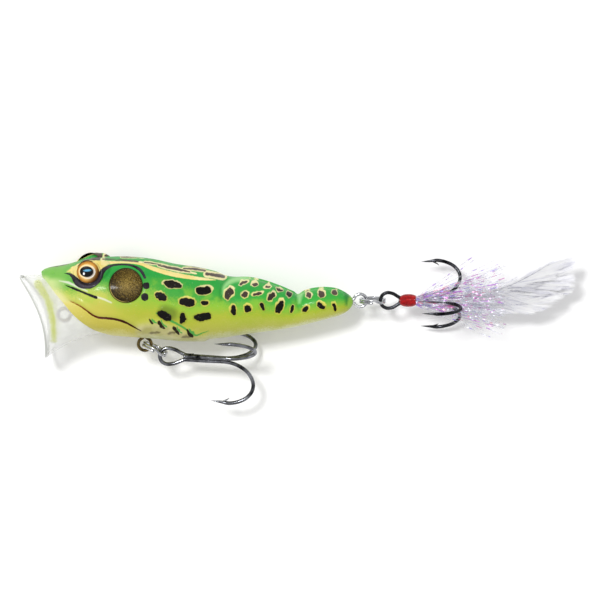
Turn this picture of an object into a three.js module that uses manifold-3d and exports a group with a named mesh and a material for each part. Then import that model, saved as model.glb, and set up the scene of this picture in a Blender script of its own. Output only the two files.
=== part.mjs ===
// Topwater popper: a hollow hard-bait frog with a clear mouth cup, two treble hooks on split rings,
// and a dressed tail. Millimetres. The lure lies on its right flank.
// While building, x runs aft from the nose tip, y towards the back, and z out of the left flank,
// with z = 0 on the mould's parting plane. The group at the end moves the origin to the table.
import * as THREE from "three";
import { ParametricGeometry } from "three/addons/geometries/ParametricGeometry.js";
import { mergeVertices } from "three/addons/utils/BufferGeometryUtils.js";
import Module from "manifold-3d";

const wasm = await Module();
wasm.setup();

// ---------------------------------------------------------------- driving dimensions
const BODY_LENGTH = 70;
const WALL = 1.4; // moulded shell thickness
const GAP = 0.3; // clearance between pieces that meet
const PARTING_GAP = 0.1; // between the two body halves
const SECTION_POWER = 2.25; // superellipse exponent of the body's sections

const EYE = { x: 10.65, y: 7.2, seat: 7.0, radius: 2.55, foil: 0.3, dome: 1.0, socket: 0.25 };
const BROW = { x: 11.7, y: 6.4, z: 4.6, tilt: THREE.MathUtils.degToRad(8), radii: [4.9, 3.7, 3.9] };
const EARDRUM = { x: 19.3, y: 4.3, radius: 3.7, proud: 0.25 };

const CUP = {
  rimTop: [-4.9, 5.6],
  rimBottom: [0.9, -13.1],
  rimHalfWidth: 8.8,
  sideSetback: 2.3, // the rim's sides lie this far behind its top and bottom tips
  baseWall: 1.2,
  rimWall: 0.7,
};

const WIRE = { tie: 0.42, hanger: 0.36, ring: 0.28 }; // wire radii
const RING_RADIUS = 2.8; // split ring, at the middle of the wire
const TURN_OFFSET = 0.3; // each turn of a split ring from the ring's middle plane

const LINE_TIE = { x: 5.0, y: -3.3, radius: 1.4, anchor: [14.0, -0.5] };
const BELLY_HANGER = { x: 23.1, y: -10.0, radius: 1.45, anchor: [23.1, -4.4] };
const TAIL_HANGER = { x: 71.6, y: -0.1, radius: 1.45, anchor: [64.4, -0.9] };
const BELLY_RING_ANGLE = THREE.MathUtils.degToRad(-26);
const TAIL_RING_ANGLE = 0;

// A treble's sizes run from the centre of its eye: to the back of the bend, to the points,
// and out from the shank to the points.
const BELLY_TREBLE = {
  eyeOffset: [5.85, -0.2], // from the hanger's centre, along and across the split ring's line
  tilt: THREE.MathUtils.degToRad(-3.5),
  roll: THREE.MathUtils.degToRad(-1.5),
  wire: 0.44,
  bend: 19.6,
  point: 10.2,
  gape: 9.9,
  eyeRadius: 1.8,
  eyeEnd: 4.2,
};
const TAIL_TREBLE = {
  eyeOffset: [6.3, 0],
  tilt: 0,
  roll: THREE.MathUtils.degToRad(-162),
  wire: 0.4,
  bend: 16.2,
  point: 7.3,
  gape: 9.2,
  eyeRadius: 1.75,
  eyeEnd: 3.0,
};

const WRAP = { from: 2.9, to: 6.2, inner: 1.14, outer: 1.42 }; // along the tail treble from its eye
const RATTLE = { from: 29, to: 43.4, bore: 3.9, wall: 0.9, ballRadius: 1.6 };
const BELLY_BALLAST = { x: 36.2, y: -5.0, radius: 2.2, length: 9 };
const TAIL_BALLAST = { x: 53.4, y: -1.3, radius: 2.0, length: 7 };

// ---------------------------------------------------------------- solids and geometry
// A closed three.js geometry as a solid, with its doubled vertices and flat triangles dropped.
function solid(geometry, matrix) {
  const bare = geometry.index ? geometry.toNonIndexed() : geometry.clone();
  for (const name of Object.keys(bare.attributes)) {
    if (name !== "position") bare.deleteAttribute(name);
  }
  if (matrix) bare.applyMatrix4(matrix);
  const merged = mergeVertices(bare, 1e-4);
  const kept = [];
  const index = merged.index.array;
  for (let i = 0; i < index.length; i += 3) {
    const [a, b, c] = [index[i], index[i + 1], index[i + 2]];
    if (a !== b && b !== c && c !== a) kept.push(a, b, c);
  }
  const build = (triangles) =>
    new wasm.Manifold(
      new wasm.Mesh({
        numProp: 3,
        vertProperties: merged.attributes.position.array,
        triVerts: new Uint32Array(triangles),
      }),
    );
  const made = build(kept);
  return made.volume() < 0 ? build(kept.reverse()) : made;
}

function geometryOf(shape) {
  const mesh = shape.getMesh();
  const geometry = new THREE.BufferGeometry();
  geometry.setAttribute("position", new THREE.BufferAttribute(mesh.vertProperties, 3));
  geometry.setIndex(new THREE.BufferAttribute(mesh.triVerts, 1));
  geometry.computeVertexNormals();
  return geometry;
}

const union = (shapes) => shapes.reduce((sum, shape) => sum.add(shape));

function place(x, y, z, rotation = [0, 0, 0], scale = [1, 1, 1]) {
  return new THREE.Matrix4().compose(
    new THREE.Vector3(x, y, z),
    new THREE.Quaternion().setFromEuler(new THREE.Euler(...rotation)),
    new THREE.Vector3(...scale),
  );
}

const box = (low, high) =>
  solid(
    new THREE.BoxGeometry(high[0] - low[0], high[1] - low[1], high[2] - low[2]),
    place((low[0] + high[0]) / 2, (low[1] + high[1]) / 2, (low[2] + high[2]) / 2),
  );

const ellipsoid = (centre, radii, rotation = [0, 0, 0], around = 16) =>
  solid(new THREE.SphereGeometry(1, around, Math.round(around * 0.6)), place(...centre, rotation, radii));

const rodX = (from, to, y, z, radius, sides = 14) =>
  solid(
    new THREE.CylinderGeometry(radius, radius, to - from, sides),
    place((from + to) / 2, y, z, [0, 0, Math.PI / 2]),
  );

const rodZ = (x, y, from, to, radius, sides = 12) =>
  solid(
    new THREE.CylinderGeometry(radius, radius, to - from, sides),
    place(x, y, (from + to) / 2, [Math.PI / 2, 0, 0]),
  );

// A round wire along a curve.
function wireAlong(curve, radius, steps, sides = 8) {
  const section = new THREE.Shape();
  for (let i = 0; i < sides; i++) {
    const angle = (2 * Math.PI * i) / sides;
    section[i ? "lineTo" : "moveTo"](radius * Math.cos(angle), radius * Math.sin(angle));
  }
  return solid(new THREE.ExtrudeGeometry(section, { steps, bevelEnabled: false, extrudePath: curve }));
}

const spline = (points) =>
  new THREE.CatmullRomCurve3(points.map((p) => new THREE.Vector3(...p)), false, "centripetal");

// A smooth function through a few knots [x, value], by cubic Hermite spans.
function profile(knots) {
  const slope = (i) => {
    const a = knots[Math.max(i - 1, 0)];
    const b = knots[Math.min(i + 1, knots.length - 1)];
    return (b[1] - a[1]) / (b[0] - a[0]);
  };
  return (x) => {
    const last = knots.length - 2;
    const i = Math.max(0, Math.min(last, knots.findIndex((k) => k[0] > x) - 1));
    const found = x >= knots[last + 1][0] ? last : i;
    const [x0, y0] = knots[found];
    const [x1, y1] = knots[found + 1];
    const span = x1 - x0;
    const t = THREE.MathUtils.clamp((x - x0) / span, 0, 1);
    return (
      y0 * (2 * t ** 3 - 3 * t ** 2 + 1) +
      y1 * (3 * t ** 2 - 2 * t ** 3) +
      span * slope(found) * (t ** 3 - 2 * t ** 2 + t) +
      span * slope(found + 1) * (t ** 3 - t ** 2)
    );
  };
}

// ---------------------------------------------------------------- the body's outer form
const backLine = profile([
  [0, 6.3], [0.6, 7.0], [2, 7.5], [6, 8.1], [11, 9.2], [16, 9.8], [22, 9.7], [30, 8.2], [37, 7.1],
  [42, 5.6], [47, 5.1], [53, 3.5], [57.6, 1.7], [60.5, 2.5], [64.5, 2.8], [68, 2.2], [69.4, 1.2],
  [BODY_LENGTH, 0.1],
]);
const bellyLine = profile([
  [0, -3.0], [4, -6.0], [8, -7.1], [14, -7.8], [22, -8.4], [33, -9.0], [40, -8.6], [48, -7.4],
  [55, -6.4], [61, -5.1], [66, -3.5], [69, -1.9], [BODY_LENGTH, -0.5],
]);
const halfWidth = profile([
  [0, 1.8], [0.6, 3.4], [2.2, 5.2], [5, 6.7], [8, 7.8], [12, 8.6], [18, 8.95], [26, 9.15], [33, 9.0],
  [40, 8.1], [46, 7.1], [52, 6.2], [57.5, 5.0], [62, 4.7], [66, 3.9], [68.6, 2.6], [BODY_LENGTH, 0.5],
]);

// The half width of the body at a point of its side view.
function flankAt(x, y) {
  const middle = (backLine(x) + bellyLine(x)) / 2;
  const half = (backLine(x) - bellyLine(x)) / 2;
  const share = Math.min(1, Math.abs(y - middle) / half);
  return halfWidth(x) * (1 - share ** SECTION_POWER) ** (1 / SECTION_POWER);
}

// Sections stand closer together towards both ends. An inset form is the shell's cavity.
function bodyForm(inset, around, along) {
  const [from, to] = inset ? [1.5 * inset, BODY_LENGTH - 1.4 * inset] : [0, BODY_LENGTH];
  const signedPower = (value) => Math.sign(value) * Math.abs(value) ** (2 / SECTION_POWER);
  const surface = (u, v, target) => {
    const end = Math.min(1, Math.round(v * along) === 0 || Math.round(v * along) === along ? 0 : 1);
    const inner = THREE.MathUtils.clamp((v * along - 1) / (along - 2), 0, 1);
    const x = from + (to - from) * (0.5 - 0.5 * Math.cos(Math.PI * inner)) ** 0.9;
    const middle = (backLine(x) + bellyLine(x)) / 2;
    const half = Math.max(0.15, (backLine(x) - bellyLine(x)) / 2 - inset) * end;
    const wide = Math.max(0.15, halfWidth(x) - inset) * end;
    const angle = 2 * Math.PI * u;
    target.set(x, middle + half * signedPower(Math.sin(angle)), wide * signedPower(Math.cos(angle)));
  };
  return solid(new ParametricGeometry(surface, around, along));
}

// The front of the head in side view, from under the nose tip down to the chin.
const faceLine = [
  [0.2, 5.4], [1.2, 4.4], [3.0, 2.3], [5.3, -0.2], [8.3, -3.4], [11.6, -5.9], [14.8, -7.3], [17.6, -8.3],
];

// Everything behind the face line, moved forward by a distance.
function behindFace(forward) {
  const far = 100;
  const region = new THREE.Shape();
  region.moveTo(faceLine[0][0] - 12 - forward, faceLine[0][1] + 0.6);
  region.splineThru(faceLine.map(([x, y]) => new THREE.Vector2(x - forward, y - 0.6 * forward)));
  region.lineTo(20, -far);
  region.lineTo(far, -far);
  region.lineTo(far, far);
  region.lineTo(faceLine[0][0] - 12 - forward, far);
  return solid(
    new THREE.ExtrudeGeometry(region, { depth: 60, bevelEnabled: false, curveSegments: 8 }),
    place(0, 0, -30),
  );
}

// The hollow that scoops water, square to the face line's middle.
const mouthDish = (grown) =>
  ellipsoid(
    [4.3, -2.3, 0],
    [4.3 + grown, 7.2 + grown, 5.0 + grown],
    [0, 0, THREE.MathUtils.degToRad(37)],
  );

// The bulge over an eye, with the socket that the eye sits on.
function brow(side, around) {
  const ends = [3, EYE.seat - 0.05].map((z) => side * z).sort((a, b) => a - b);
  const socket = rodZ(EYE.x, EYE.y, ...ends, EYE.radius + EYE.socket, 24);
  return ellipsoid([BROW.x, BROW.y, side * BROW.z], BROW.radii, [0, 0, BROW.tilt], around).add(socket);
}

function outerBody() {
  const eardrum = (side) =>
    ellipsoid(
      [EARDRUM.x, EARDRUM.y, side * (flankAt(EARDRUM.x, EARDRUM.y) - 0.5)],
      [EARDRUM.radius, EARDRUM.radius, 0.5 + EARDRUM.proud],
    );
  return union([bodyForm(0, 24, 30), brow(1, 20), brow(-1, 20), eardrum(1), eardrum(-1)])
    .intersect(behindFace(0))
    .subtract(mouthDish(0));
}

const cavity = () =>
  bodyForm(WALL, 12, 12).intersect(behindFace(-2.6)).subtract(mouthDish(WALL));

// ---------------------------------------------------------------- wire fittings
// A figure-of-eight wire: an outer loop, a doubled leg, and an inner loop that the moulding holds.
function figureEight(fitting, wire, grown = 0) {
  const [ax, ay] = fitting.anchor;
  const angle = Math.atan2(ay - fitting.y, ax - fitting.x);
  const reach = Math.hypot(ax - fitting.x, ay - fitting.y);
  const inner = fitting.radius * 0.9;
  const loop = (radius) => new THREE.TorusGeometry(radius, wire + grown, 6, 14);
  const legLength = reach - fitting.radius - inner + 2 * wire;
  const legAt = (side) => {
    const along = (fitting.radius + reach - inner) / 2;
    const across = side * wire * 0.85;
    return place(
      fitting.x + along * Math.cos(angle) - across * Math.sin(angle),
      fitting.y + along * Math.sin(angle) + across * Math.cos(angle),
      0,
      [0, 0, angle - Math.PI / 2],
    );
  };
  const leg = new THREE.CylinderGeometry(wire + grown, wire + grown, legLength, 6);
  return union([
    solid(loop(fitting.radius), place(fitting.x, fitting.y, 0)),
    solid(loop(inner), place(ax, ay, 0)),
    solid(leg, legAt(1)),
    solid(leg, legAt(-1)),
  ]);
}

// A split ring of nearly two turns, whose wire steps from one turn's plane to the next.
function splitRing(centre, angle) {
  const step = 0.7;
  const sweep = 4 * Math.PI - step - 0.25;
  class Coil extends THREE.Curve {
    getPoint(t, target = new THREE.Vector3()) {
      const turned = t * sweep;
      const rise = THREE.MathUtils.smoothstep(turned, 2 * Math.PI - step, 2 * Math.PI);
      const across = TURN_OFFSET * (2 * rise - 1);
      const along = RING_RADIUS * Math.cos(turned + Math.PI / 2);
      return target.set(
        centre[0] + along * Math.cos(angle) - across * Math.sin(angle),
        centre[1] + along * Math.sin(angle) + across * Math.cos(angle),
        RING_RADIUS * Math.sin(turned + Math.PI / 2),
      );
    }
  }
  return wireAlong(new Coil(), WIRE.ring, 40, 6);
}

// ---------------------------------------------------------------- treble hooks
// A treble lies along x from its eye, before placeTreble turns it. Azimuth 0 is +z, 90 is +y.
const outward = (azimuth) => [Math.sin(azimuth), Math.cos(azimuth)];

function hookPoint(along, out, azimuth) {
  const [y, z] = outward(azimuth);
  return [along, out * y, out * z];
}

function hookCurve(treble, azimuth, from) {
  const { bend, gape, point, wire } = treble;
  const seat = wire * 1.34; // the three shanks lie round the middle without touching
  const centreLine = [
    [from, seat], [(from + bend - 6) / 2, seat], [bend - 6, seat], [bend - 3.7, 0.12 * gape],
    [bend - 1.4, 0.27 * gape], [bend - 0.1, 0.49 * gape], [bend - 0.15, 0.68 * gape],
    [bend - 1.3, 0.85 * gape], [bend - 3.1, 0.955 * gape], [bend - 5.1, gape],
    [point + 2.6, 0.985 * gape],
  ];
  return spline(centreLine.map(([along, out]) => hookPoint(along, out, azimuth)));
}

// One hook: its wire, its needle point and the barb cut up from the inside of the wire.
function hook(treble, azimuth, from) {
  const { gape, point, wire } = treble;
  const [y, z] = outward(azimuth);
  const needle = 3.0;
  const towardsPoint = new THREE.Vector3(-1, -0.035 * y, -0.035 * z).normalize();
  const tip = new THREE.Matrix4().compose(
    new THREE.Vector3(point + needle / 2, 0.975 * gape * y, 0.975 * gape * z),
    new THREE.Quaternion().setFromUnitVectors(new THREE.Vector3(0, 1, 0), towardsPoint),
    new THREE.Vector3(1, 1, 1),
  );
  const barbLean = new THREE.Vector3(0.72, -0.69 * y, -0.69 * z).normalize();
  const barb = new THREE.Matrix4().compose(
    new THREE.Vector3(...hookPoint(point + 3.9, 0.93 * gape, azimuth)),
    new THREE.Quaternion().setFromUnitVectors(new THREE.Vector3(0, 1, 0), barbLean),
    new THREE.Vector3(1, 1, 1),
  );
  return union([
    wireAlong(hookCurve(treble, azimuth, from), wire, 20, 6),
    solid(new THREE.ConeGeometry(wire, needle, 8), tip),
    solid(new THREE.ConeGeometry(wire * 0.5, 1.5, 5), barb),
  ]);
}

// The wire's loop, which runs on into two of the three shanks.
function trebleEye(treble) {
  const r = treble.eyeRadius;
  const end = treble.eyeEnd;
  const half = [
    [end, 0.5], [end * 0.72, 0.9], [end * 0.36, r * 0.88], [-0.15 * r, r], [-0.75 * r, 0.68 * r],
  ];
  const mirrored = half.map(([x, y]) => [x, -y]).reverse();
  const points = [...half, [-r, 0], ...mirrored].map(([x, y]) => [x, y, 0]);
  return wireAlong(spline(points), treble.wire, 18, 6);
}

// Hooks stand 120 degrees apart. The doubled wire makes two hooks and the eye, and the third
// hook is brazed into the groove between their shanks.
function trebleSolids(treble) {
  const third = (2 * Math.PI) / 3;
  const first = -Math.PI / 2 + treble.roll;
  const shankFrom = treble.eyeEnd - 0.6;
  return {
    double: union([
      trebleEye(treble),
      hook(treble, first, shankFrom),
      hook(treble, first + third, shankFrom),
    ]),
    single: hook(treble, first - third, treble.eyeEnd + 0.6),
  };
}

function eyeCentre(hanger, treble, ringAngle) {
  const [along, across] = treble.eyeOffset;
  return [
    hanger.x + along * Math.cos(ringAngle) - across * Math.sin(ringAngle),
    hanger.y + along * Math.sin(ringAngle) + across * Math.cos(ringAngle),
  ];
}

// ---------------------------------------------------------------- tail dressing
const wrapLathe = () => {
  const { from, to, inner, outer } = WRAP;
  const swell = 0.12;
  const outline = [
    [inner, from], [outer - 0.15, from], [outer + swell * 0.6, from + 0.5], [outer + swell, (from + to) / 2],
    [outer + swell * 0.6, to - 0.5], [outer - 0.15, to], [inner, to], [inner, from],
  ];
  return solid(
    new THREE.LatheGeometry(outline.map((p) => new THREE.Vector2(...p)), 20),
    place(0, 0, 0, [0, 0, -Math.PI / 2]),
  );
};

// Metallic strands leave a collar behind the wrap in two fans, above and below the feathers.
function tinselSkirt() {
  const collar = solid(
    new THREE.LatheGeometry(
      [[1.15, WRAP.to + GAP], [1.75, WRAP.to + GAP], [1.75, WRAP.to + 1], [1.15, WRAP.to + 1],
        [1.15, WRAP.to + GAP]].map((p) => new THREE.Vector2(...p)),
      18,
    ),
    place(0, 0, 0, [0, 0, -Math.PI / 2]),
  );
  const strand = ({ angle, length, side, rise }) => {
    const slant = THREE.MathUtils.degToRad(angle);
    const direction = new THREE.Vector3(Math.cos(slant), Math.sin(slant), side * rise).normalize();
    const start = new THREE.Vector3(WRAP.to + 0.7, angle < 0 ? -0.75 : 0.45, side * 1.45);
    return solid(
      new THREE.BoxGeometry(0.3, length, 0.3),
      new THREE.Matrix4().compose(
        start.addScaledVector(direction, length / 2),
        new THREE.Quaternion().setFromUnitVectors(new THREE.Vector3(0, 1, 0), direction),
        new THREE.Vector3(1, 1, 1),
      ),
    );
  };
  return union([collar, ...STRANDS.map(strand)]);
}

// A hackle feather as a thin blade: a bare quill between the hooks, then a vane with a blunt tip.
function feather(spine, width, level) {
  const thickness = 0.4;
  const quill = 0.24;
  const curve = new THREE.SplineCurve(spine.map((p) => new THREE.Vector2(...p)));
  const count = 10;
  const edge = (side) => {
    const points = [];
    for (let i = 0; i <= count; i++) {
      const t = i / count;
      const at = curve.getPoint(t);
      const along = curve.getTangent(t);
      const vane = THREE.MathUtils.smoothstep(t, 0.2, 0.42) * (1 - t ** 7) ** 0.8;
      const half = quill + (width / 2 - quill) * vane;
      points.push(new THREE.Vector2(at.x - side * half * along.y, at.y + side * half * along.x));
    }
    return points;
  };
  const outline = new THREE.Shape([...edge(-1), ...edge(1).reverse()]);
  return solid(
    new THREE.ExtrudeGeometry(outline, { depth: thickness, bevelEnabled: false }),
    place(0, 0, level - thickness / 2),
  );
}

// The rise is how far a strand leans away from the feathers, as a share of its length.
const STRANDS = [
  { angle: 42, length: 16, side: 1, rise: 0.26 },
  { angle: 28, length: 20, side: 1, rise: 0.26 },
  { angle: 16, length: 17, side: 1, rise: 0.26 },
  { angle: 8, length: 20, side: 1, rise: 0.26 },
  { angle: -17, length: 20, side: 1, rise: 0.08 },
  { angle: -25, length: 18, side: 1, rise: 0.08 },
  { angle: 26, length: 17, side: -1, rise: 0.1 },
  { angle: -3, length: 18, side: -1, rise: 0.14 },
  { angle: -22, length: 17, side: -1, rise: 0.06 },
];
const FEATHERS = {
  feather_upper: { spine: [[8.3, 1.6], [20, 3.9], [32, 7.0], [42.6, 8.6]], width: 4.6, level: 1.0 },
  feather_middle: { spine: [[8.3, 1.5], [20, 2.4], [32, 3.7], [42.6, 4.8]], width: 4.4, level: 0.3 },
  feather_lower: { spine: [[8.3, -1.6], [18, -2.2], [27, -2.0], [36.5, -1.6]], width: 3.6, level: 0.3 },
  feather_far: { spine: [[9.8, 0.6], [20, 1.9], [32, 2.4], [42, 1.6]], width: 4.6, level: -1.5 },
};

// ---------------------------------------------------------------- body halves
// Ribs across the cavity, clipped to it with a little bite so that they fuse with the shell.
function ribsAndSeats() {
  const ribAt = (x, thickness = 1.1) => box([x - thickness / 2, -12, -12], [x + thickness / 2, 12, 12]);
  const race = RATTLE.bore / 2 + RATTLE.wall;
  const raceBlock = box([RATTLE.from - 1, -race, -race], [RATTLE.to + 1, race, race]);
  const posts = [LINE_TIE, BELLY_HANGER, TAIL_HANGER].map(({ anchor }) =>
    rodZ(anchor[0], anchor[1], -12, 12, 0.75),
  );
  const blocks = [
    box([LINE_TIE.anchor[0] - 5.4, -5.2, -12], [LINE_TIE.anchor[0] - 1.9, 1.6, 12]),
    box([BELLY_HANGER.x - 1.6, -12, -12], [BELLY_HANGER.x + 1.6, BELLY_HANGER.anchor[1] - 1.7, 12]),
    box([TAIL_HANGER.anchor[0] + 1.8, -12, -12], [80, 12, 12]),
  ];
  return union([
    ribAt(RATTLE.from - 0.6), ribAt(RATTLE.to + 0.6),
    ribAt(BELLY_BALLAST.x - 3), ribAt(BELLY_BALLAST.x + 3),
    ribAt(TAIL_BALLAST.x - 2.3), ribAt(TAIL_BALLAST.x + 2.3),
    raceBlock, ...posts, ...blocks,
  ]);
}

const eyeSocket = (side, grown, depth) =>
  rodZ(EYE.x, EYE.y, ...(side > 0 ? [EYE.seat - depth, 14] : [-14, depth - EYE.seat]), EYE.radius + grown, 24);

const ballast = (weight, grown) =>
  rodX(
    weight.x - weight.length / 2 - grown,
    weight.x + weight.length / 2 + grown,
    weight.y,
    0,
    weight.radius + grown,
  );

// Three pins on the left half enter three sockets in the right half.
const PIN_PLACES = [[17.5, 5.6], [46.5, 1.6], [59.3, -1.2]];
const pins = (grown) =>
  union(PIN_PLACES.map(([x, y]) => rodZ(x, y, -1.6 - grown, 3, 0.7 + grown, 12)));
const pinBosses = () => union(PIN_PLACES.map(([x, y]) => rodZ(x, y, -12, 12, 1.6, 12)));

function bodyHalves() {
  const outer = outerBody();
  const eyeBosses = union(
    [1, -1].map((side) => eyeSocket(side, 0.9, 1.2).intersect(brow(side, 16))),
  );
  const raceBore = box(
    [RATTLE.from, -RATTLE.bore / 2, -RATTLE.bore / 2],
    [RATTLE.to, RATTLE.bore / 2, RATTLE.bore / 2],
  );
  const hollow = cavity().subtract(union([ribsAndSeats(), pinBosses(), eyeBosses]));
  const cuts = union([
    hollow,
    raceBore,
    ballast(BELLY_BALLAST, GAP),
    ballast(TAIL_BALLAST, GAP),
    eyeSocket(1, GAP, 0),
    eyeSocket(-1, GAP, 0),
    figureEight(LINE_TIE, WIRE.tie, GAP),
    figureEight(BELLY_HANGER, WIRE.hanger, GAP),
    figureEight(TAIL_HANGER, WIRE.hanger, GAP),
  ]);
  const shell = outer.subtract(cuts);
  const leftSpace = box([-20, -30, PARTING_GAP / 2], [90, 30, 30]);
  const rightSpace = box([-20, -30, -30], [90, 30, -PARTING_GAP / 2]);
  const biggest = (shape) => shape.decompose().sort((a, b) => b.volume() - a.volume())[0];
  return {
    left: biggest(shell.intersect(leftSpace).add(pins(0).subtract(box([-20, -30, 3], [90, 30, 30])))),
    right: biggest(shell.intersect(rightSpace).subtract(pins(GAP))),
  };
}

// ---------------------------------------------------------------- mouth cup
// The cup's wall runs from the face line out to the rim as a quadratic curve at every angle.
function mouthCup() {
  const face = new THREE.SplineCurve(faceLine.slice(0, -1).map((p) => new THREE.Vector2(...p)));
  const [topX, topY] = CUP.rimTop;
  const [bottomX, bottomY] = CUP.rimBottom;
  const chord = new THREE.Vector2(bottomX - topX, bottomY - topY);
  const back = new THREE.Vector2(-chord.y, chord.x).normalize();
  const outer = (angle, t) => {
    const share = (1 - Math.cos(angle)) / 2;
    const side = Math.sin(angle);
    const base = face.getPoint(share);
    const baseZ = flankAt(base.x, base.y) * THREE.MathUtils.clamp(2.5 * side, -1, 1);
    const setback = CUP.sideSetback * side * side;
    const rim = [
      topX + chord.x * share + back.x * setback,
      topY + chord.y * share + back.y * setback,
      CUP.rimHalfWidth * side,
    ];
    const start = [base.x + 1.2, base.y + 0.35, baseZ * 0.985];
    const control = [
      0.5 * start[0] + 0.5 * rim[0] - 0.6 * share,
      start[1] + 0.12 * (rim[1] - start[1]),
      baseZ * 0.98 + 0.15 * (rim[2] - baseZ),
    ];
    return new THREE.Vector3(
      ...[0, 1, 2].map((i) => (1 - t) ** 2 * start[i] + 2 * t * (1 - t) * control[i] + t * t * rim[i]),
    );
  };
  const inner = (angle, t) => {
    const at = outer(angle, t);
    const round = outer(angle + 0.01, t).sub(outer(angle - 0.01, t));
    const run = outer(angle, Math.min(1, t + 0.01)).sub(outer(angle, Math.max(0, t - 0.01)));
    const inward = round.cross(run).normalize();
    return at.addScaledVector(inward, THREE.MathUtils.lerp(CUP.baseWall, CUP.rimWall, t));
  };
  const rows = 6;
  const surface = (u, v, target) => {
    const row = Math.round(v * (2 * rows + 2)) % (2 * rows + 2);
    const angle = 2 * Math.PI * u;
    target.copy(row <= rows ? outer(angle, row / rows) : inner(angle, (2 * rows + 1 - row) / rows));
  };
  const raw = solid(new ParametricGeometry(surface, 32, 2 * rows + 2));
  const cut = raw.subtract(behindFace(GAP));
  return cut.decompose().sort((a, b) => b.volume() - a.volume())[0];
}

// ---------------------------------------------------------------- eyes, balls and weights
const eyeFoil = (side) =>
  rodZ(
    EYE.x,
    EYE.y,
    ...(side > 0 ? [EYE.seat + 0.1, EYE.seat + 0.1 + EYE.foil] : [-EYE.seat - 0.1 - EYE.foil, -EYE.seat - 0.1]),
    EYE.radius,
    24,
  );

function eyeLens(side) {
  const outline = [new THREE.Vector2(0, 0), new THREE.Vector2(EYE.radius, 0)];
  const edge = 0.25;
  for (let i = 0; i <= 4; i++) {
    const angle = (Math.PI / 2) * (i / 4);
    outline.push(new THREE.Vector2(EYE.radius * Math.cos(angle), edge + EYE.dome * Math.sin(angle)));
  }
  const seat = EYE.seat + 0.2 + EYE.foil;
  return solid(
    new THREE.LatheGeometry(outline, 24),
    place(EYE.x, EYE.y, side * seat, [(side * Math.PI) / 2, 0, 0]),
  );
}

const rattleBall = (index) => {
  const pitch = 2 * RATTLE.ballRadius + 0.15;
  const x = RATTLE.from + RATTLE.ballRadius + 0.2 + index * pitch;
  return ellipsoid([x, 0, 0], Array(3).fill(RATTLE.ballRadius), [0, 0, 0], 14);
};

// ---------------------------------------------------------------- materials
const material = (colour, roughness, metalness = 0, opacity = 1) =>
  new THREE.MeshStandardMaterial({
    color: colour,
    roughness,
    metalness,
    opacity,
    transparent: opacity < 1,
  });
const paintedShell = material(0x57b947, 0.32);
const clearPlastic = material(0xf2f5ee, 0.08, 0, 0.35);
const eyePrint = material(0xc79a4a, 0.35);
const clearResin = material(0x20242a, 0.05);
const bronzeWire = material(0x6a5a3a, 0.35, 0.9);
const nickelWire = material(0xc9cbd0, 0.25, 1);
const blackNickel = material(0x3a3b40, 0.28, 1);
const redThread = material(0xa81c1c, 0.45);
const tinsel = material(0xe6d8f0, 0.2, 0.4);
const hackle = material(0xf1f1f4, 0.7);
const steel = material(0xb8bac0, 0.3, 1);

// ---------------------------------------------------------------- the assembly
const lure = new THREE.Group();

function piece(name, shape, finish, parent = lure) {
  const mesh = new THREE.Mesh(geometryOf(shape), finish.clone());
  mesh.name = name;
  parent.add(mesh);
  return mesh;
}

const halves = bodyHalves();
piece("body_left", halves.left, paintedShell);
piece("body_right", halves.right, paintedShell);
piece("mouth_cup", mouthCup(), clearPlastic);
for (const [name, side] of [["left", 1], ["right", -1]]) {
  piece(`eye_foil_${name}`, eyeFoil(side), eyePrint);
  piece(`eye_lens_${name}`, eyeLens(side), clearResin);
}
piece("line_tie", figureEight(LINE_TIE, WIRE.tie), nickelWire);
piece("belly_hanger", figureEight(BELLY_HANGER, WIRE.hanger), bronzeWire);
piece("tail_hanger", figureEight(TAIL_HANGER, WIRE.hanger), nickelWire);
piece("belly_ballast", ballast(BELLY_BALLAST, 0), steel);
piece("tail_ballast", ballast(TAIL_BALLAST, 0), steel);
["front", "middle", "rear"].forEach((name, index) =>
  piece(`rattle_ball_${name}`, rattleBall(index), steel),
);

// A split ring, its near side in the hanger's loop, and the treble that it carries.
function hookUp(label, hanger, treble, ringAngle, ringStart) {
  const reach = ringStart + RING_RADIUS;
  const ringCentre = [
    hanger.x + reach * Math.cos(ringAngle),
    hanger.y + reach * Math.sin(ringAngle),
  ];
  piece(`${label}_split_ring`, splitRing(ringCentre, ringAngle), nickelWire);
  const hung = new THREE.Group();
  hung.position.set(...eyeCentre(hanger, treble, ringAngle), 0);
  hung.rotation.z = treble.tilt;
  lure.add(hung);
  const { double, single } = trebleSolids(treble);
  piece(`${label}_treble_double`, double, blackNickel, hung);
  piece(`${label}_treble_single`, single, blackNickel, hung);
  return hung;
}

hookUp("belly", BELLY_HANGER, BELLY_TREBLE, BELLY_RING_ANGLE, -0.25);
const tail = hookUp("tail", TAIL_HANGER, TAIL_TREBLE, TAIL_RING_ANGLE, 0);
piece("thread_wrap", wrapLathe(), redThread, tail);
piece("tinsel_skirt", tinselSkirt(), tinsel, tail);
for (const [name, { spine, width, level }] of Object.entries(FEATHERS)) {
  piece(name, feather(spine, width, level), hackle, tail);
}

// The origin is on the table, under the middle of the whole lure.
const extent = new THREE.Box3().setFromObject(lure);
const middle = extent.getCenter(new THREE.Vector3());
lure.position.set(-middle.x, -middle.y, -extent.min.z);

export default lure;
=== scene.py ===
import functools
import math
import bpy
import numpy as np
from mathutils import Matrix, Vector


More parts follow.
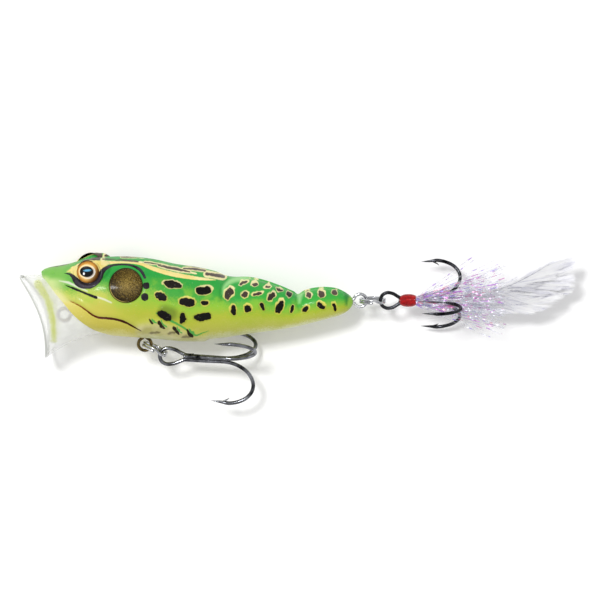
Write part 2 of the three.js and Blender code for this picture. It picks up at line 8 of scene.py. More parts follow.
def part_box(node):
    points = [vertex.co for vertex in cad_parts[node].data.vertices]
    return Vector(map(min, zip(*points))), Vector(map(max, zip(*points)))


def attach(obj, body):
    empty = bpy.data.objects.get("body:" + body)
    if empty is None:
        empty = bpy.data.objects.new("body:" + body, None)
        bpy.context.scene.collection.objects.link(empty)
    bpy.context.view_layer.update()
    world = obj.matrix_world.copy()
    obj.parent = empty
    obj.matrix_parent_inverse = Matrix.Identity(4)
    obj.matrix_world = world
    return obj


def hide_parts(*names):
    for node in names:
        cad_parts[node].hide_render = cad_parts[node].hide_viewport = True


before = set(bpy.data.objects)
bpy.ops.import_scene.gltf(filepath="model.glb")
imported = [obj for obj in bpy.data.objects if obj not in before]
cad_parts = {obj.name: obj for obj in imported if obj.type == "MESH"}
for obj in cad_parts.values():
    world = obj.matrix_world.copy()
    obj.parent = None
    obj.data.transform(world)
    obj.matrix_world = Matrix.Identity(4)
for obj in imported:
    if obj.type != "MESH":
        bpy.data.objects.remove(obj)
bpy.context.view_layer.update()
rng = np.random.default_rng(7)

# Lure millimetres: x aft from the nose tip, y towards the back, z out of the left flank, z = 0 mid-plane.
EYE_X, EYE_Y, EYE_R = 10.65, 7.2, 2.55
TILT = math.radians(7.4)  # the side view looks down on the back by this much
foil_low, foil_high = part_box("eye_foil_left")
ring_low, ring_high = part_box("tail_split_ring")
ORIGIN = np.array([
    500 * (foil_low.x + foil_high.x) - EYE_X,
    500 * (foil_low.y + foil_high.y) - EYE_Y,
    500 * (ring_low.z + ring_high.z),
])


def row(points):
    """Lure millimetres to row metres."""
    return (np.asarray(points, float) + ORIGIN) * 0.001


def smooth(a, b, x):
    t = np.clip((x - a) / (b - a), 0, 1)
    return t * t * (3 - 2 * t)


def bell(distance, width):
    return np.exp(-(distance / width) ** 2)


def unit(vectors):
    return vectors / (np.linalg.norm(vectors, axis=-1, keepdims=True) + 1e-9)


def nearest(*distances):
    return functools.reduce(np.minimum, distances)


def side_view_y(y, z):
    return y * math.cos(TILT) - np.abs(z) * math.sin(TILT)


# ------------------------------------------------------------------ meshes
def make_mesh(name, verts, quads, attributes):
    """A smooth-shaded mesh object from lure millimetres."""
    mesh = bpy.data.meshes.new(name)
    mesh.vertices.add(len(verts))
    mesh.vertices.foreach_set("co", row(verts).astype(np.float32).ravel())
    mesh.loops.add(4 * len(quads))
    mesh.loops.foreach_set("vertex_index", np.asarray(quads, np.int32).ravel())
    mesh.polygons.add(len(quads))
    mesh.polygons.foreach_set("loop_start", np.arange(0, 4 * len(quads), 4, dtype=np.int32))
    mesh.update(calc_edges=True)
    mesh.validate()
    mesh.polygons.foreach_set("use_smooth", np.full(len(mesh.polygons), True))
    for key, values in attributes.items():
        layer = mesh.attributes.new(key, "FLOAT", "POINT")
        layer.data.foreach_set("value", np.asarray(values, np.float32).ravel())
    obj = bpy.data.objects.new(name, mesh)
    bpy.context.scene.collection.objects.link(obj)
    return obj


def grid_quads(rows, cols, wrap=False, flip=False):
    """Quads of a rows by cols grid of vertices; wrap joins its last column to its first."""
    i, j = np.meshgrid(np.arange(rows - 1), np.arange(cols if wrap else cols - 1), indexing="ij")
    k = (j + 1) % cols
    quads = np.stack([i * cols + j, i * cols + k, (i + 1) * cols + k, (i + 1) * cols + j], -1).reshape(-1, 4)
    return quads[:, ::-1] if flip else quads


def join_parts(parts):
    """Joins (verts, quads, attributes) parts into one."""
    verts, quads, attributes, count = [], [], {}, 0
    for v, q, a in parts:
        verts.append(v)
        quads.append(np.asarray(q) + count)
        for key, values in a.items():
            attributes.setdefault(key, []).append(np.broadcast_to(values, (len(v),)))
        count += len(v)
    return np.concatenate(verts), np.concatenate(quads), {k: np.concatenate(v) for k, v in attributes.items()}


def lengths_along(path):
    return np.concatenate([[0], np.cumsum(np.linalg.norm(np.diff(path, axis=0), axis=1))])


def spline(points, count):
    """A centripetal Catmull-Rom curve through points, evenly spaced along its length."""
    p = np.asarray(points, float)
    p = np.vstack([2 * p[0] - p[1], p, 2 * p[-1] - p[-2]])
    gap = np.sqrt(np.linalg.norm(np.diff(p, axis=0), axis=1)) + 1e-9
    dense = []
    for i in range(1, len(p) - 2):
        t0, t1 = 0, gap[i - 1]
        t2 = t1 + gap[i]
        t3 = t2 + gap[i + 1]
        t = np.linspace(t1, t2, 40, endpoint=i == len(p) - 3)[:, None]
        a1 = (t1 - t) / (t1 - t0) * p[i - 1] + (t - t0) / (t1 - t0) * p[i]
        a2 = (t2 - t) / (t2 - t1) * p[i] + (t - t1) / (t2 - t1) * p[i + 1]
        a3 = (t3 - t) / (t3 - t2) * p[i + 1] + (t - t2) / (t3 - t2) * p[i + 2]
        b1 = (t2 - t) / (t2 - t0) * a1 + (t - t0) / (t2 - t0) * a2
        b2 = (t3 - t) / (t3 - t1) * a2 + (t - t1) / (t3 - t1) * a3
        dense.append((t2 - t) / (t2 - t1) * b1 + (t - t1) / (t2 - t1) * b2)
    dense = np.vstack(dense)
    run = lengths_along(dense)
    at = np.linspace(0, run[-1], count)
    return np.stack([np.interp(at, run, dense[:, k]) for k in range(3)], 1)


def fine(points, count=40):
    """A flat line rounded into a curve."""
    return spline([(px, py, 0) for px, py in points], count)[:, :2]


def tube(centres, radius, sides=18, power=2.0):
    """A closed tube along centres. radius is one value or one a centre; power above 2 squares its section."""
    c = np.asarray(centres, float)
    r = np.broadcast_to(radius, (len(c),)).astype(float)
    tangent = unit(np.gradient(c, axis=0))
    normal = np.cross(tangent[0], [0.13, 0.2, 1.0])  # any start that isn't along the tube
    normals = []
    for t in tangent:
        normal = unit(normal - t * normal.dot(t))
        normals.append(normal)
    normals = np.array(normals)
    binormals = np.cross(tangent, normals)
    angle = np.linspace(0, 2 * np.pi, sides, endpoint=False)
    across, up = (np.sign(v) * np.abs(v) ** (2 / power) for v in (np.cos(angle), np.sin(angle)))

    def ring(k, share, push=0.0):
        middle = c[k] + push * r[k] * tangent[k]
        return middle + share * r[k] * (across[:, None] * normals[k] + up[:, None] * binormals[k])

    rings = [ring(0, 0, -0.32), ring(0, 0.82, -0.22)]  # rounded ends
    rings += [ring(k, 1.0) for k in range(len(c))]
    rings += [ring(-1, 0.82, 0.22), ring(-1, 0, 0.32)]
    run = np.linspace(0, 1, len(rings)).repeat(sides)
    return np.vstack(rings), grid_quads(len(rings), sides, wrap=True), {"run": run}


def outwards(part):
    """A closed part with its faces turned to face out."""
    verts, quads, attributes = part
    a, b, c, d = (verts[quads[:, k]] for k in range(4))
    volume = (np.cross(a, b) * c).sum() + (np.cross(a, c) * d).sum()
    return verts, quads if volume > 0 else np.asarray(quads)[:, ::-1], attributes


def piece(name, parts, material, body, node):
    """A piece of the visual model, which rides a body and replaces a node, if it has one."""
    obj = make_mesh(name, *join_parts(parts))
    obj.data.materials.append(material)
    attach(obj, body)
    if node:
        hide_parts(node)


# ------------------------------------------------------------------ node materials
def linear(code):
    """A hex colour as linear RGBA."""
    parts = [int(code[i:i + 2], 16) / 255 for i in (0, 2, 4)]
    return [p / 12.92 if p <= 0.04045 else ((p + 0.055) / 1.055) ** 2.4 for p in parts] + [1.0]


class Graph:
    """Short names for the nodes of one material."""

    def __init__(self, name):
        self.material = bpy.data.materials.new(name)
        self.material.use_nodes = True
        self.tree = self.material.node_tree
        self.shader = self.tree.nodes["Principled BSDF"]

    def node(self, kind, inputs=(), **settings):
        made = self.tree.nodes.new(kind)
        for key, value in settings.items():
            setattr(made, key, value)
        for key, value in inputs:
            self.put(made.inputs[key], value)
        return made

    def put(self, socket, value):
        if hasattr(value, "is_output"):
            self.tree.links.new(value, socket)
        else:
            socket.default_value = linear(value) if isinstance(value, str) else value

    def set(self, **values):
        for key, value in values.items():
            self.put(self.shader.inputs[key.replace("_", " ")], value)

    def attribute(self, name):
        return self.node("ShaderNodeAttribute", attribute_name=name).outputs["Fac"]

    def noise(self, scale, detail=3.0, roughness=0.5, at=None):
        place = at if at is not None else self.node("ShaderNodeTexCoord").outputs["Object"]
        inputs = [("Vector", place), ("Scale", scale), ("Detail", detail), ("Roughness", roughness)]
        return self.node("ShaderNodeTexNoise", inputs).outputs["Fac"]

    def math(self, operation, *values):
        return self.node("ShaderNodeMath", enumerate(values), operation=operation).outputs[0]

    def times(self, *values):
        return functools.reduce(lambda a, b: self.math("MULTIPLY", a, b), values)

    def plus(self, *values):
        return functools.reduce(lambda a, b: self.math("ADD", a, b), values)

    def scaled(self, value, factor, start):
        return self.math("MULTIPLY_ADD", value, factor, start)

    def grain(self, scale, detail, factor, start):
        """Noise, scaled and moved."""
        return self.scaled(self.noise(scale, detail), factor, start)

    def span(self, value, low, high):
        """0 at low and 1 at high, with soft ends; low may be the larger."""
        inputs = [("Value", value), ("From Min", low), ("From Max", high)]
        return self.node("ShaderNodeMapRange", inputs, interpolation_type="SMOOTHSTEP").outputs["Result"]

    def band(self, value, middle, outer, inner):
        """1 where value is near middle."""
        return self.span(self.math("ABSOLUTE", self.plus(value, -middle)), outer, inner)

    def ramp(self, value, stops):
        made = self.node("ShaderNodeValToRGB", [("Fac", value)])
        elements = made.color_ramp.elements
        while len(elements) < len(stops):
            elements.new(0.5)
        for element, (position, colour) in zip(elements, stops):
            element.position = position
            element.color = linear(colour)
        return made.outputs["Color"]

    def mottle(self, scale, detail, stops):
        """Colours that follow noise."""
        return self.ramp(self.noise(scale, detail), stops)

    def mix(self, share, a, b):
        made = self.node("ShaderNodeMix", [("Factor", share), ("A", a), ("B", b)], data_type="RGBA")
        return made.outputs["Result"]

    def layers(self, base, coats):
        """Coats of (share, colour) laid over a base in turn."""
        for share, colour in coats:
            base = self.mix(share, base, colour)
        return base

    def bump(self, height, strength, distance):
        inputs = [("Strength", strength), ("Distance", distance), ("Height", height)]
        self.put(self.shader.inputs["Normal"], self.node("ShaderNodeBump", inputs).outputs["Normal"])


def metal(name, dark, light, roughness, grime):
    """A plated wire: tone drifts along it, fine scratches run through it, and dirt sits in places."""
    g = Graph(name)
    drift = g.noise(420, 4)
    fleck = g.noise(5200, 2)
    dirt = g.times(g.span(g.noise(1500, 5), 0.56, 0.7), grime)
    g.set(Base_Color=g.mix(dirt, g.ramp(drift, [(0.32, dark), (0.64, light)]), dark), Metallic=1.0)
    g.set(Roughness=g.plus(g.times(fleck, 0.14), dirt, roughness - 0.05))
    g.bump(g.plus(fleck, g.times(drift, 0.6)), 0.25, 0.00003)
    return g.material


# ------------------------------------------------------------------ the body's outer form
def profile(knots):
    """A smooth curve through (x, value) knots."""
    kx, ky = np.array(knots, float).T
    n = np.arange(len(kx))
    lo, hi = np.maximum(n - 1, 0), np.minimum(n + 1, len(kx) - 1)
    slope = (ky[hi] - ky[lo]) / (kx[hi] - kx[lo])

    def at(x):
        x = np.asarray(x, float)
        i = np.clip(np.searchsorted(kx, x, side="right") - 1, 0, len(kx) - 2)
        span = kx[i + 1] - kx[i]
        t = np.clip((x - kx[i]) / span, 0, 1)
        return (
            ky[i] * (2 * t**3 - 3 * t**2 + 1) + ky[i + 1] * (3 * t**2 - 2 * t**3)
            + span * slope[i] * (t**3 - 2 * t**2 + t) + span * slope[i + 1] * (t**3 - t**2)
        )

    return at


BODY_END = 70
back_line = profile([
    (0, 6.55), (0.6, 7.0), (2, 7.45), (6, 8.15), (8, 8.7), (11, 9.3), (16, 9.75), (20, 9.75), (25, 9.2),
    (30, 8.1), (35, 7.35), (39, 6.45), (41.3, 5.5), (43, 5.2), (46.5, 5.2), (50, 4.5), (54, 3.1), (56.4, 2.05),
    (57.8, 1.55), (59.4, 2.3), (62.5, 2.85), (65.5, 2.8), (68, 2.3), (BODY_END, 2.1),
])
belly_line = profile([
    (0, -3.0), (4, -6.0), (8, -7.1), (14, -7.8), (22, -8.4), (33, -9.0), (40, -8.5), (48, -7.35),
    (55, -6.35), (61, -5.05), (66, -3.75), (BODY_END, -2.9),
])
half_width = profile([
    (0, 1.8), (0.6, 3.4), (2.2, 5.2), (5, 6.7), (8, 7.8), (12, 8.6), (18, 8.95), (26, 9.1), (33, 8.95),
    (40, 8.0), (46, 7.1), (52, 6.2), (57.5, 5.0), (62, 4.7), (66, 4.1), (BODY_END, 3.6),
])
FACE = [
    (-0.05, 6.45), (0.15, 5.5), (1.2, 4.4), (3.0, 2.3), (5.3, -0.2), (8.3, -3.4), (11.6, -5.9), (14.8, -7.3),
    (17.6, -8.3),
]
face_line = fine(FACE, 200)
DRUM = np.array([19.15, 4.3])  # the eardrum's middle
BROW, BROW_RADII = np.array([11.7, 6.4, 4.6]), np.array([4.9, 3.7, 3.9])
DISH, DISH_RADII = np.array([4.3, -2.3, 0]), np.array([4.3, 7.2, 5.0])  # the hollow of the face
DISH_WAY = np.array([0.62, 0.785, 0.0])
SECTION = 2.25  # the power of the body's rounded section; 2 is an ellipse
SEAM = 0.05  # each half's gap to the mid-plane


def face_x(y):
    return np.interp(-y, -face_line[:, 1], face_line[:, 0])


def section_point(x, angle):
    """A point of the smooth body; its end is rounded off."""
    close = np.sqrt(np.clip(1 - np.clip((x - 65.8) / 4.2, 0, 1) ** 2.2, 0, 1))
    top, low = back_line(x), belly_line(x)
    rounded = lambda v: np.sign(v) * np.abs(v) ** (2 / SECTION)
    y = (top + low) / 2 + (top - low) / 2 * close * rounded(np.sin(angle))
    return y, half_width(x) * close * rounded(np.cos(angle))


def turned_by(degrees):
    """Takes row vectors, through its transpose, into axes turned about z."""
    c, s = math.cos(math.radians(degrees)), math.sin(math.radians(degrees))
    return np.array([[c, s, 0], [-s, c, 0], [0, 0, 1]])


def exit_distance(p, direction, radii):
    """Points' distance to an ellipsoid's surface along a direction, and their depth; 0 for those outside."""
    q = p / radii
    d = direction / radii
    a = (d * d).sum(-1)
    b = (q * d).sum(-1)
    c = (q * q).sum(-1) - 1
    inside = c < 0
    root = np.sqrt(np.clip(b * b - a * c, 0, None))
    return np.where(inside, (-b + root) / a, 0.0), np.where(inside, 1 - np.sqrt(np.clip(c + 1, 0, None)), 0.0)


def stroke(x, y, points, widths=0.0):
    """Signed distance in mm to a painted stroke whose width changes along it."""
    points = np.asarray(points, float)
    widths = np.broadcast_to(widths, (len(points),))
    best = np.full(x.shape, 99.0)
    for (ax, ay), (bx, by), wa, wb in zip(points[:-1], points[1:], widths[:-1], widths[1:]):
        dx, dy = bx - ax, by - ay
        t = np.clip(((x - ax) * dx + (y - ay) * dy) / (dx * dx + dy * dy), 0, 1)
        best = np.minimum(best, np.hypot(x - ax - t * dx, y - ay - t * dy) - (wa + (wb - wa) * t) / 2)
    return best


def brushed(x, y, points, widths, count=40):
    """A stroke with a rounded middle line and evenly spaced widths."""
    spread = np.interp(np.linspace(0, 1, count), np.linspace(0, 1, len(widths)), widths)
    return stroke(x, y, fine(points, count), spread)


def blob(x, y, centre, size, tilt):
    """Signed distance in mm, near its edge, to a tilted rounded spot."""
    c, s = math.cos(math.radians(tilt)), math.sin(math.radians(tilt))
    u, v = x - centre[0], y - centre[1]
    u, v = u * c + v * s, -u * s + v * c
    a, b = size[0] / 2, size[1] / 2
    p = 2.5
    k = (np.abs(u / a) ** p + np.abs(v / b) ** p) ** (1 / p) + 1e-6
    return (k - 1) / k * (np.hypot(u, v) + 1e-6)


def ripple(x, y, size, seed):
    """A smooth random field of about -1 to 1 with bumps of the given size in mm."""
    maker = np.random.default_rng(seed)
    total = np.zeros(np.shape(x))
    for _ in range(7):
        angle, phase = maker.uniform(0, 2 * np.pi, 2)
        rate = maker.uniform(0.7, 1.5) * 2 * np.pi / size
        total = total + np.sin(rate * (x * math.cos(angle) + y * math.sin(angle)) + phase)
    return total / 3.2


# ------------------------------------------------------------------ painted marks, in side-view millimetres
# x, y, length, height, tilt, width of the pale rim, and how brown
SPOTS = [
    (29.6, 3.48, 4.2, 1.6, -11, 0.3, 0.1), (26.9, 0.8, 2.9, 1.65, -25, 0.3, 0),
    (32.9, -0.47, 3.65, 1.85, -8, 0.34, 0), (36.6, 2.1, 3.4, 1.85, 2, 0.4, 0),
    (36.8, -0.7, 1.8, 1.05, -5, 0.26, 0), (27.7, -3.5, 3.3, 1.75, -25, 0.0, 0),
    (31.8, -4.0, 1.45, 2.45, -4, 0.06, 0), (36.3, -3.75, 3.7, 1.75, 5, 0.1, 0),
    (42.1, 1.33, 1.6, 2.75, -28, 0.46, 0.45), (43.2, -2.27, 1.25, 2.25, 8, 0.34, 0),
    (45.3, 3.8, 1.95, 0.8, 22, 0.36, 0.75), (48.0, 3.5, 1.25, 0.8, 20, 0.36, 0.8),
    (50.8, 3.06, 1.3, 0.42, 4, 0.42, 0.8), (53.4, 2.3, 1.25, 0.55, -26, 0.3, 0.5),
    (55.6, 1.27, 1.15, 1.25, -25, 0.2, 0.2), (45.7, 1.33, 1.15, 1.45, -30, 0.36, 0.55),
    (48.45, 1.36, 2.1, 0.66, 16, 0.36, 0.6), (51.6, 0.73, 1.15, 2.3, -42, 0.38, 0.35),
    (46.24, -1.95, 1.55, 1.5, 5, 0.38, 0), (49.65, -1.58, 0.85, 1.9, 22, 0.12, 0),
    (53.5, -1.48, 1.4, 2.85, -22, 0.44, 0), (56.2, -1.98, 0.8, 1.95, -14, 0.24, 0),
    (59.25, -2.05, 1.7, 1.15, 34, 0.34, 0), (60.0, 1.1, 1.25, 1.35, -20, 0.24, 0.85),
    (62.9, 1.27, 1.4, 1.5, -8, 0.3, 0.75), (62.8, -1.35, 2.1, 1.05, -42, 0.4, 0),
    (65.8, 1.68, 1.35, 1.1, -12, 0.2, 0.85), (65.8, -1.58, 0.85, 1.95, 20, 0.36, 0),
]
# dashes on the back: middle line, widths, cream outline, and how brown
DASHES = [
    ([(26.4, 7.74), (29.8, 7.05), (33.3, 6.3)], [0.3, 0.66, 0.3], 0.34, 0.85),
    ([(31.9, 7.1), (34.4, 6.95), (36.8, 6.6)], [0.3, 0.56, 0.4], 0.26, 0.85),
    ([(37.2, 5.85), (40.9, 5.3)], [0.7, 0.74], 0.6, 0.75),
    ([(16.7, 8.95), (19.0, 8.9), (21.7, 8.58)], [0.2, 0.4, 0.32], 0.0, 0.9),
    ([(23.3, 8.45), (26.9, 7.98)], [0.3, 0.2], 0.28, 0.85),
    ([(14.0, 9.15), (16.6, 9.2)], [0.34, 0.14], 0.0, 0.8),
    ([(17.9, 9.6), (21.3, 9.65)], [0.2, 0.3], 0.16, 0.9),
    ([(9.0, 8.6), (10.6, 9.15), (13.0, 9.2)], [0.08, 0.6, 0.72], 0.0, 0.85),
    ([(1.4, 7.3), (4.0, 7.7), (6.1, 8.1)], [0.1, 0.24, 0.1], 0.0, 0.9),
]
CREAMS = [  # small cream flecks: centre, size, tilt
    ((13.9, 9.1), (1.0, 0.95), -35), ((22.4, 8.5), (1.3, 0.34), -8), ((22.3, 9.5), (1.8, 0.3), -6),
    ((34.2, 6.05), (1.7, 0.42), -12), ((37.9, 6.25), (1.5, 0.4), -14),
]
STRIPE = [
    (14.0, 8.3), (17.1, 8.45), (20, 8.4), (22.4, 8.1), (24.6, 7.25), (27, 6.45), (30, 5.7), (33, 5.15),
    (36, 4.75), (39.2, 4.5),
]
STRIPE_WIDTH = [1.1, 0.5, 0.42, 0.6, 0.9, 1.0, 1.0, 0.85, 0.6, 0.12]
CRESCENT = [  # the dark line under the eye and over the eardrum
    (5.24, 5.97), (6.45, 5.8), (7.3, 5.2), (7.95, 4.35), (8.9, 3.5), (10.0, 3.2), (11.1, 3.23), (12.15, 3.9),
    (13.1, 4.9), (13.65, 5.95), (14.2, 6.7), (15.05, 7.3), (16.15, 7.75), (17.8, 7.95), (19.5, 7.9),
    (21.0, 7.5), (22.2, 6.8), (22.95, 5.85), (23.4, 5.0),
]
CRESCENT_WIDTH = [
    0.08, 0.5, 1.0, 1.5, 1.5, 1.35, 1.5, 1.65, 1.4, 1.1, 0.84, 0.52, 0.4, 0.4, 0.44, 0.52, 0.64, 0.68, 0.56,
]
MOUTH = [
    (6.58, -0.28), (7.75, -0.78), (9.25, -1.62), (10.55, -2.55), (11.86, -3.49), (13.17, -3.95), (14.85, -4.08),
    (16.71, -4.33), (18.2, -4.7), (19.51, -5.26), (20.8, -6.0), (22.5, -6.94),
]
MOUTH_WIDTH = [0.12, 0.2, 0.27, 0.34, 0.42, 0.5, 0.56, 0.54, 0.54, 0.45, 0.34, 0.16]
STREAK = [(5.5, 3.35), (7.4, 2.6), (9.0, 1.95), (10.6, 1.3), (12.5, 0.55)]
ARM_TOP = [(25.9, -2.9), (27.6, -3.9), (29.4, -4.75), (31.9, -6.1), (34.6, -7.9), (36.2, -7.4), (37.6, -6.9)]
FLAPS = [(24.9, -4.9, 1.7), (26.95, -5.6, 2.5), (30.4, -6.9, 2.2), (33.4, -7.5, 2.4)]  # the arm's barred edge
DOTS = [(23.72, 3.2, 1.45), (23.4, 0.68, 1.6)]  # behind the eardrum
LEG = [(22.6, -6.8), (26, -6.6), (30, -7.6), (34, -8.6), (38, -8.8)]
# painted highlight: a lighter green along the thigh's front edge, behind the hip groove
HIP_HIGHLIGHT = [(47.5, 5.1), (43.0, 4.4), (41.2, 3.0), (40.9, 1.4)]
SMUDGES = [(25.6, -7.3, 2.4), (29.3, -7.4, 2.0), (32.6, -8.2, 2.2)]
HIP = [(43.6, 5.6), (42.0, 4.9), (40.9, 3.0), (40.7, 0.2)]
KNEE = [(58.4, 2.6), (57.6, 1.5), (57.5, -0.5), (58.2, -2.4)]
FAR = 9.0  # a distance that no mark reaches


def relief(p, n):
    """How far muscles, brow, eardrum and folds push the smooth surface out or in."""
    x, y, z = p[..., 0], p[..., 1], p[..., 2]
    seen = side_view_y(y, z)
    outside = smooth(1.5, 3.5, z)
    lean = turned_by(8)
    reach, depth = exit_distance((p - BROW) @ lean.T, n @ lean.T, BROW_RADII)
    push = reach * smooth(0, 0.10, depth)
    drum = np.hypot(x - DRUM[0], y - DRUM[1])
    dome = np.sqrt(np.clip(1 - (drum / 3.85) ** 2, 0, 1))
    push += outside * (0.34 * smooth(3.8, 3.62, drum) + 0.16 * dome - 0.1 * bell(drum - 3.95, 0.2))
    mouth_line = fine(MOUTH, 60)
    above = seen - np.interp(x, mouth_line[:, 0], mouth_line[:, 1])
    lips = smooth(4.6, 7.5, x) * smooth(24, 21.5, x)
    push += lips * (0.22 * bell(above - 0.9, 0.8) * outside - 0.34 * bell(stroke(x, seen, mouth_line), 0.2))
    arm = stroke(x, seen, [(23.2, -6.2), (27, -6.4), (31, -7.6), (36.5, -8.6)], [3.8, 4.2, 3.6, 2.0])
    push += 0.62 * smooth(0.5, -1.5, arm) * smooth(0.6, 2.4, z)
    push += 0.75 * bell(x - 47.5, 5.6) * bell(y + 0.2, 3.6) * outside  # the thigh
    push += 0.45 * bell(x - 63, 3.6) * bell(y - 0.2, 2.6) * smooth(0.8, 2.6, z)  # the shin
    push -= 0.34 * bell(stroke(x, seen, fine(HIP)), 0.55) * outside
    push -= 0.3 * bell(stroke(x, seen, fine(KNEE)), 0.45) * smooth(0.4, 2.0, z)
    legs = smooth(43, 50, x) * smooth(BODY_END, 67.5, x)  # a groove runs between them
    push -= 0.85 * legs * bell(z, 0.85) * smooth(-1, 1.5, y)
    push -= 0.4 * legs * bell(z, 0.7) * smooth(-1, -3.5, y)
    push += 0.2 * bell(stroke(x, seen, fine(STRIPE)), 0.6) * smooth(2.5, 4.5, z)
    nostril = np.hypot(x - 2.7, y - 6.55)
    return push - 0.35 * bell(nostril, 0.34) * smooth(1.0, 2.0, z)


def outside_grid(side, along, around):
    """The outside of one half, as rows of points from the face to the tail."""
    angle = np.linspace(-np.pi / 2, np.pi / 2, around)
    even = angle + 0.10 * np.sin(2 * angle)
    start = np.zeros(around)
    for _ in range(60):  # settles on where each line of the grid leaves the face
        start = 0.6 * start + 0.4 * face_x(section_point(start, even)[0])
    share = 1 - (1 - np.linspace(0, 1, along)) ** 1.25
    x = start[None, :] + (BODY_END - start[None, :]) * share[:, None]
    y, z = section_point(x, np.broadcast_to(even, x.shape))
    p = np.stack([x, y, np.maximum(z, 0.0)], -1)
    # the outward direction, as though the whole body were there
    n = unit(np.cross(np.gradient(p, axis=0), np.gradient(p, axis=1)))
    n[:, 0, 2] = n[:, -1, 2] = 0
    n[-1] = (1, 0, 0)
    n = unit(n)
    p = p + n * relief(p, n)[..., None]
    # the eye's flat seat and its lid
    ring = np.hypot(p[..., 0] - EYE_X, p[..., 1] - EYE_Y)
    seat = smooth(3.0, 2.68, ring) * (p[..., 2] > 2.5)
    lid = 0.26 * bell(ring - 3.15, 0.36) * (p[..., 2] > 5)
    p[..., 2] = (p[..., 2] + lid) * (1 - seat) + 6.95 * seat
    widest = ORIGIN[2] if side < 0 else np.inf  # the right flank rests on the floor
    p[..., 2] = np.clip(p[..., 2], 0.04, widest)
    p[:, 0, 2] = p[:, -1, 2] = SEAM
    return p


def face_grid(edge, rows):
    """The face: rows run in from its edge to the mid-plane, dished where the mouth is."""
    q = np.linspace(0, 1, rows)[1:, None]
    across = edge[None, :, 2] * (1 - q) + SEAM * q
    flat = np.stack([*(np.broadcast_to(edge[:, k], across.shape) for k in (0, 1)), across], -1)
    turn = turned_by(37)
    into, _depth = exit_distance((flat - DISH) @ turn.T, turn @ DISH_WAY, DISH_RADII)
    flat = flat + into[..., None] * DISH_WAY
    flat[..., 2] = np.maximum(flat[..., 2], SEAM)
    return np.concatenate([edge[None], flat])


def skin(side):
    """One half of the shell: the outside, the dished face, and a turned-in edge at the parting line."""
    along, around, rows = ((640, 290, 90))
    outside = outside_grid(side, along, around)
    face = face_grid(outside[0], rows)
    depth = np.minimum(0.8, 0.35 * (outside[:, -1, 1] - outside[:, 0, 1]))
    grids = [(outside, side > 0), (face, side < 0)]
    for column, way, flip in ((0, 1.0, side < 0), (-1, -1.0, side > 0)):
        edge = outside[:, column]
        inner = edge + np.stack([0 * depth, way * depth, 0 * depth], 1)
        grids.append((np.stack([edge, inner], 1), flip))
    parts = []
    for grid, flip in grids:
        points = grid.reshape(-1, 3)
        marks = paint(points, side)
        marks["face"] = np.full(len(points), float(grid is face))
        parts.append((points * (1, 1, side), grid_quads(*grid.shape[:2], flip=flip), marks))
    return parts


def spot_marks(x, y, sx, sy):
    """The spots and dashes, their pale rims, and how brown the nearest one is."""
    spot = np.full(x.shape, FAR)
    brown = np.zeros(x.shape)
    rim = np.full(x.shape, FAR)
    uneven = 1 + 0.45 * ripple(x, y, 3.0, 8)
    dx, dy = x + 0.3 * (sx - x), y + 0.3 * (sy - y)
    found = []
    for cx, cy, length, high, tilt, width, pale in SPOTS:
        d = blob(sx, sy, (cx, cy), (length, high), tilt)
        lean = np.clip((sy - cy) / (high / 2 + 0.4), -1, 1)  # rims are thicker above
        found.append((d, width * (0.74 + 0.36 * lean) * uneven, width, pale))
    for line, widths, width, pale in DASHES:
        d = brushed(dx, dy, line, widths, 24) if len(line) > 2 else stroke(dx, dy, line, widths)
        found.append((d, width * (0.8 + 0.3 * (uneven - 1)), width, pale))
    for d, outline, width, pale in found:
        brown = np.where(d < spot, pale, brown)
        spot = nearest(spot, d)
        if width > 0:
            rim = nearest(rim, d - outline)
    rim = nearest(rim, *(blob(dx, dy, *cream) for cream in CREAMS))
    return spot, rim, brown, dx, dy


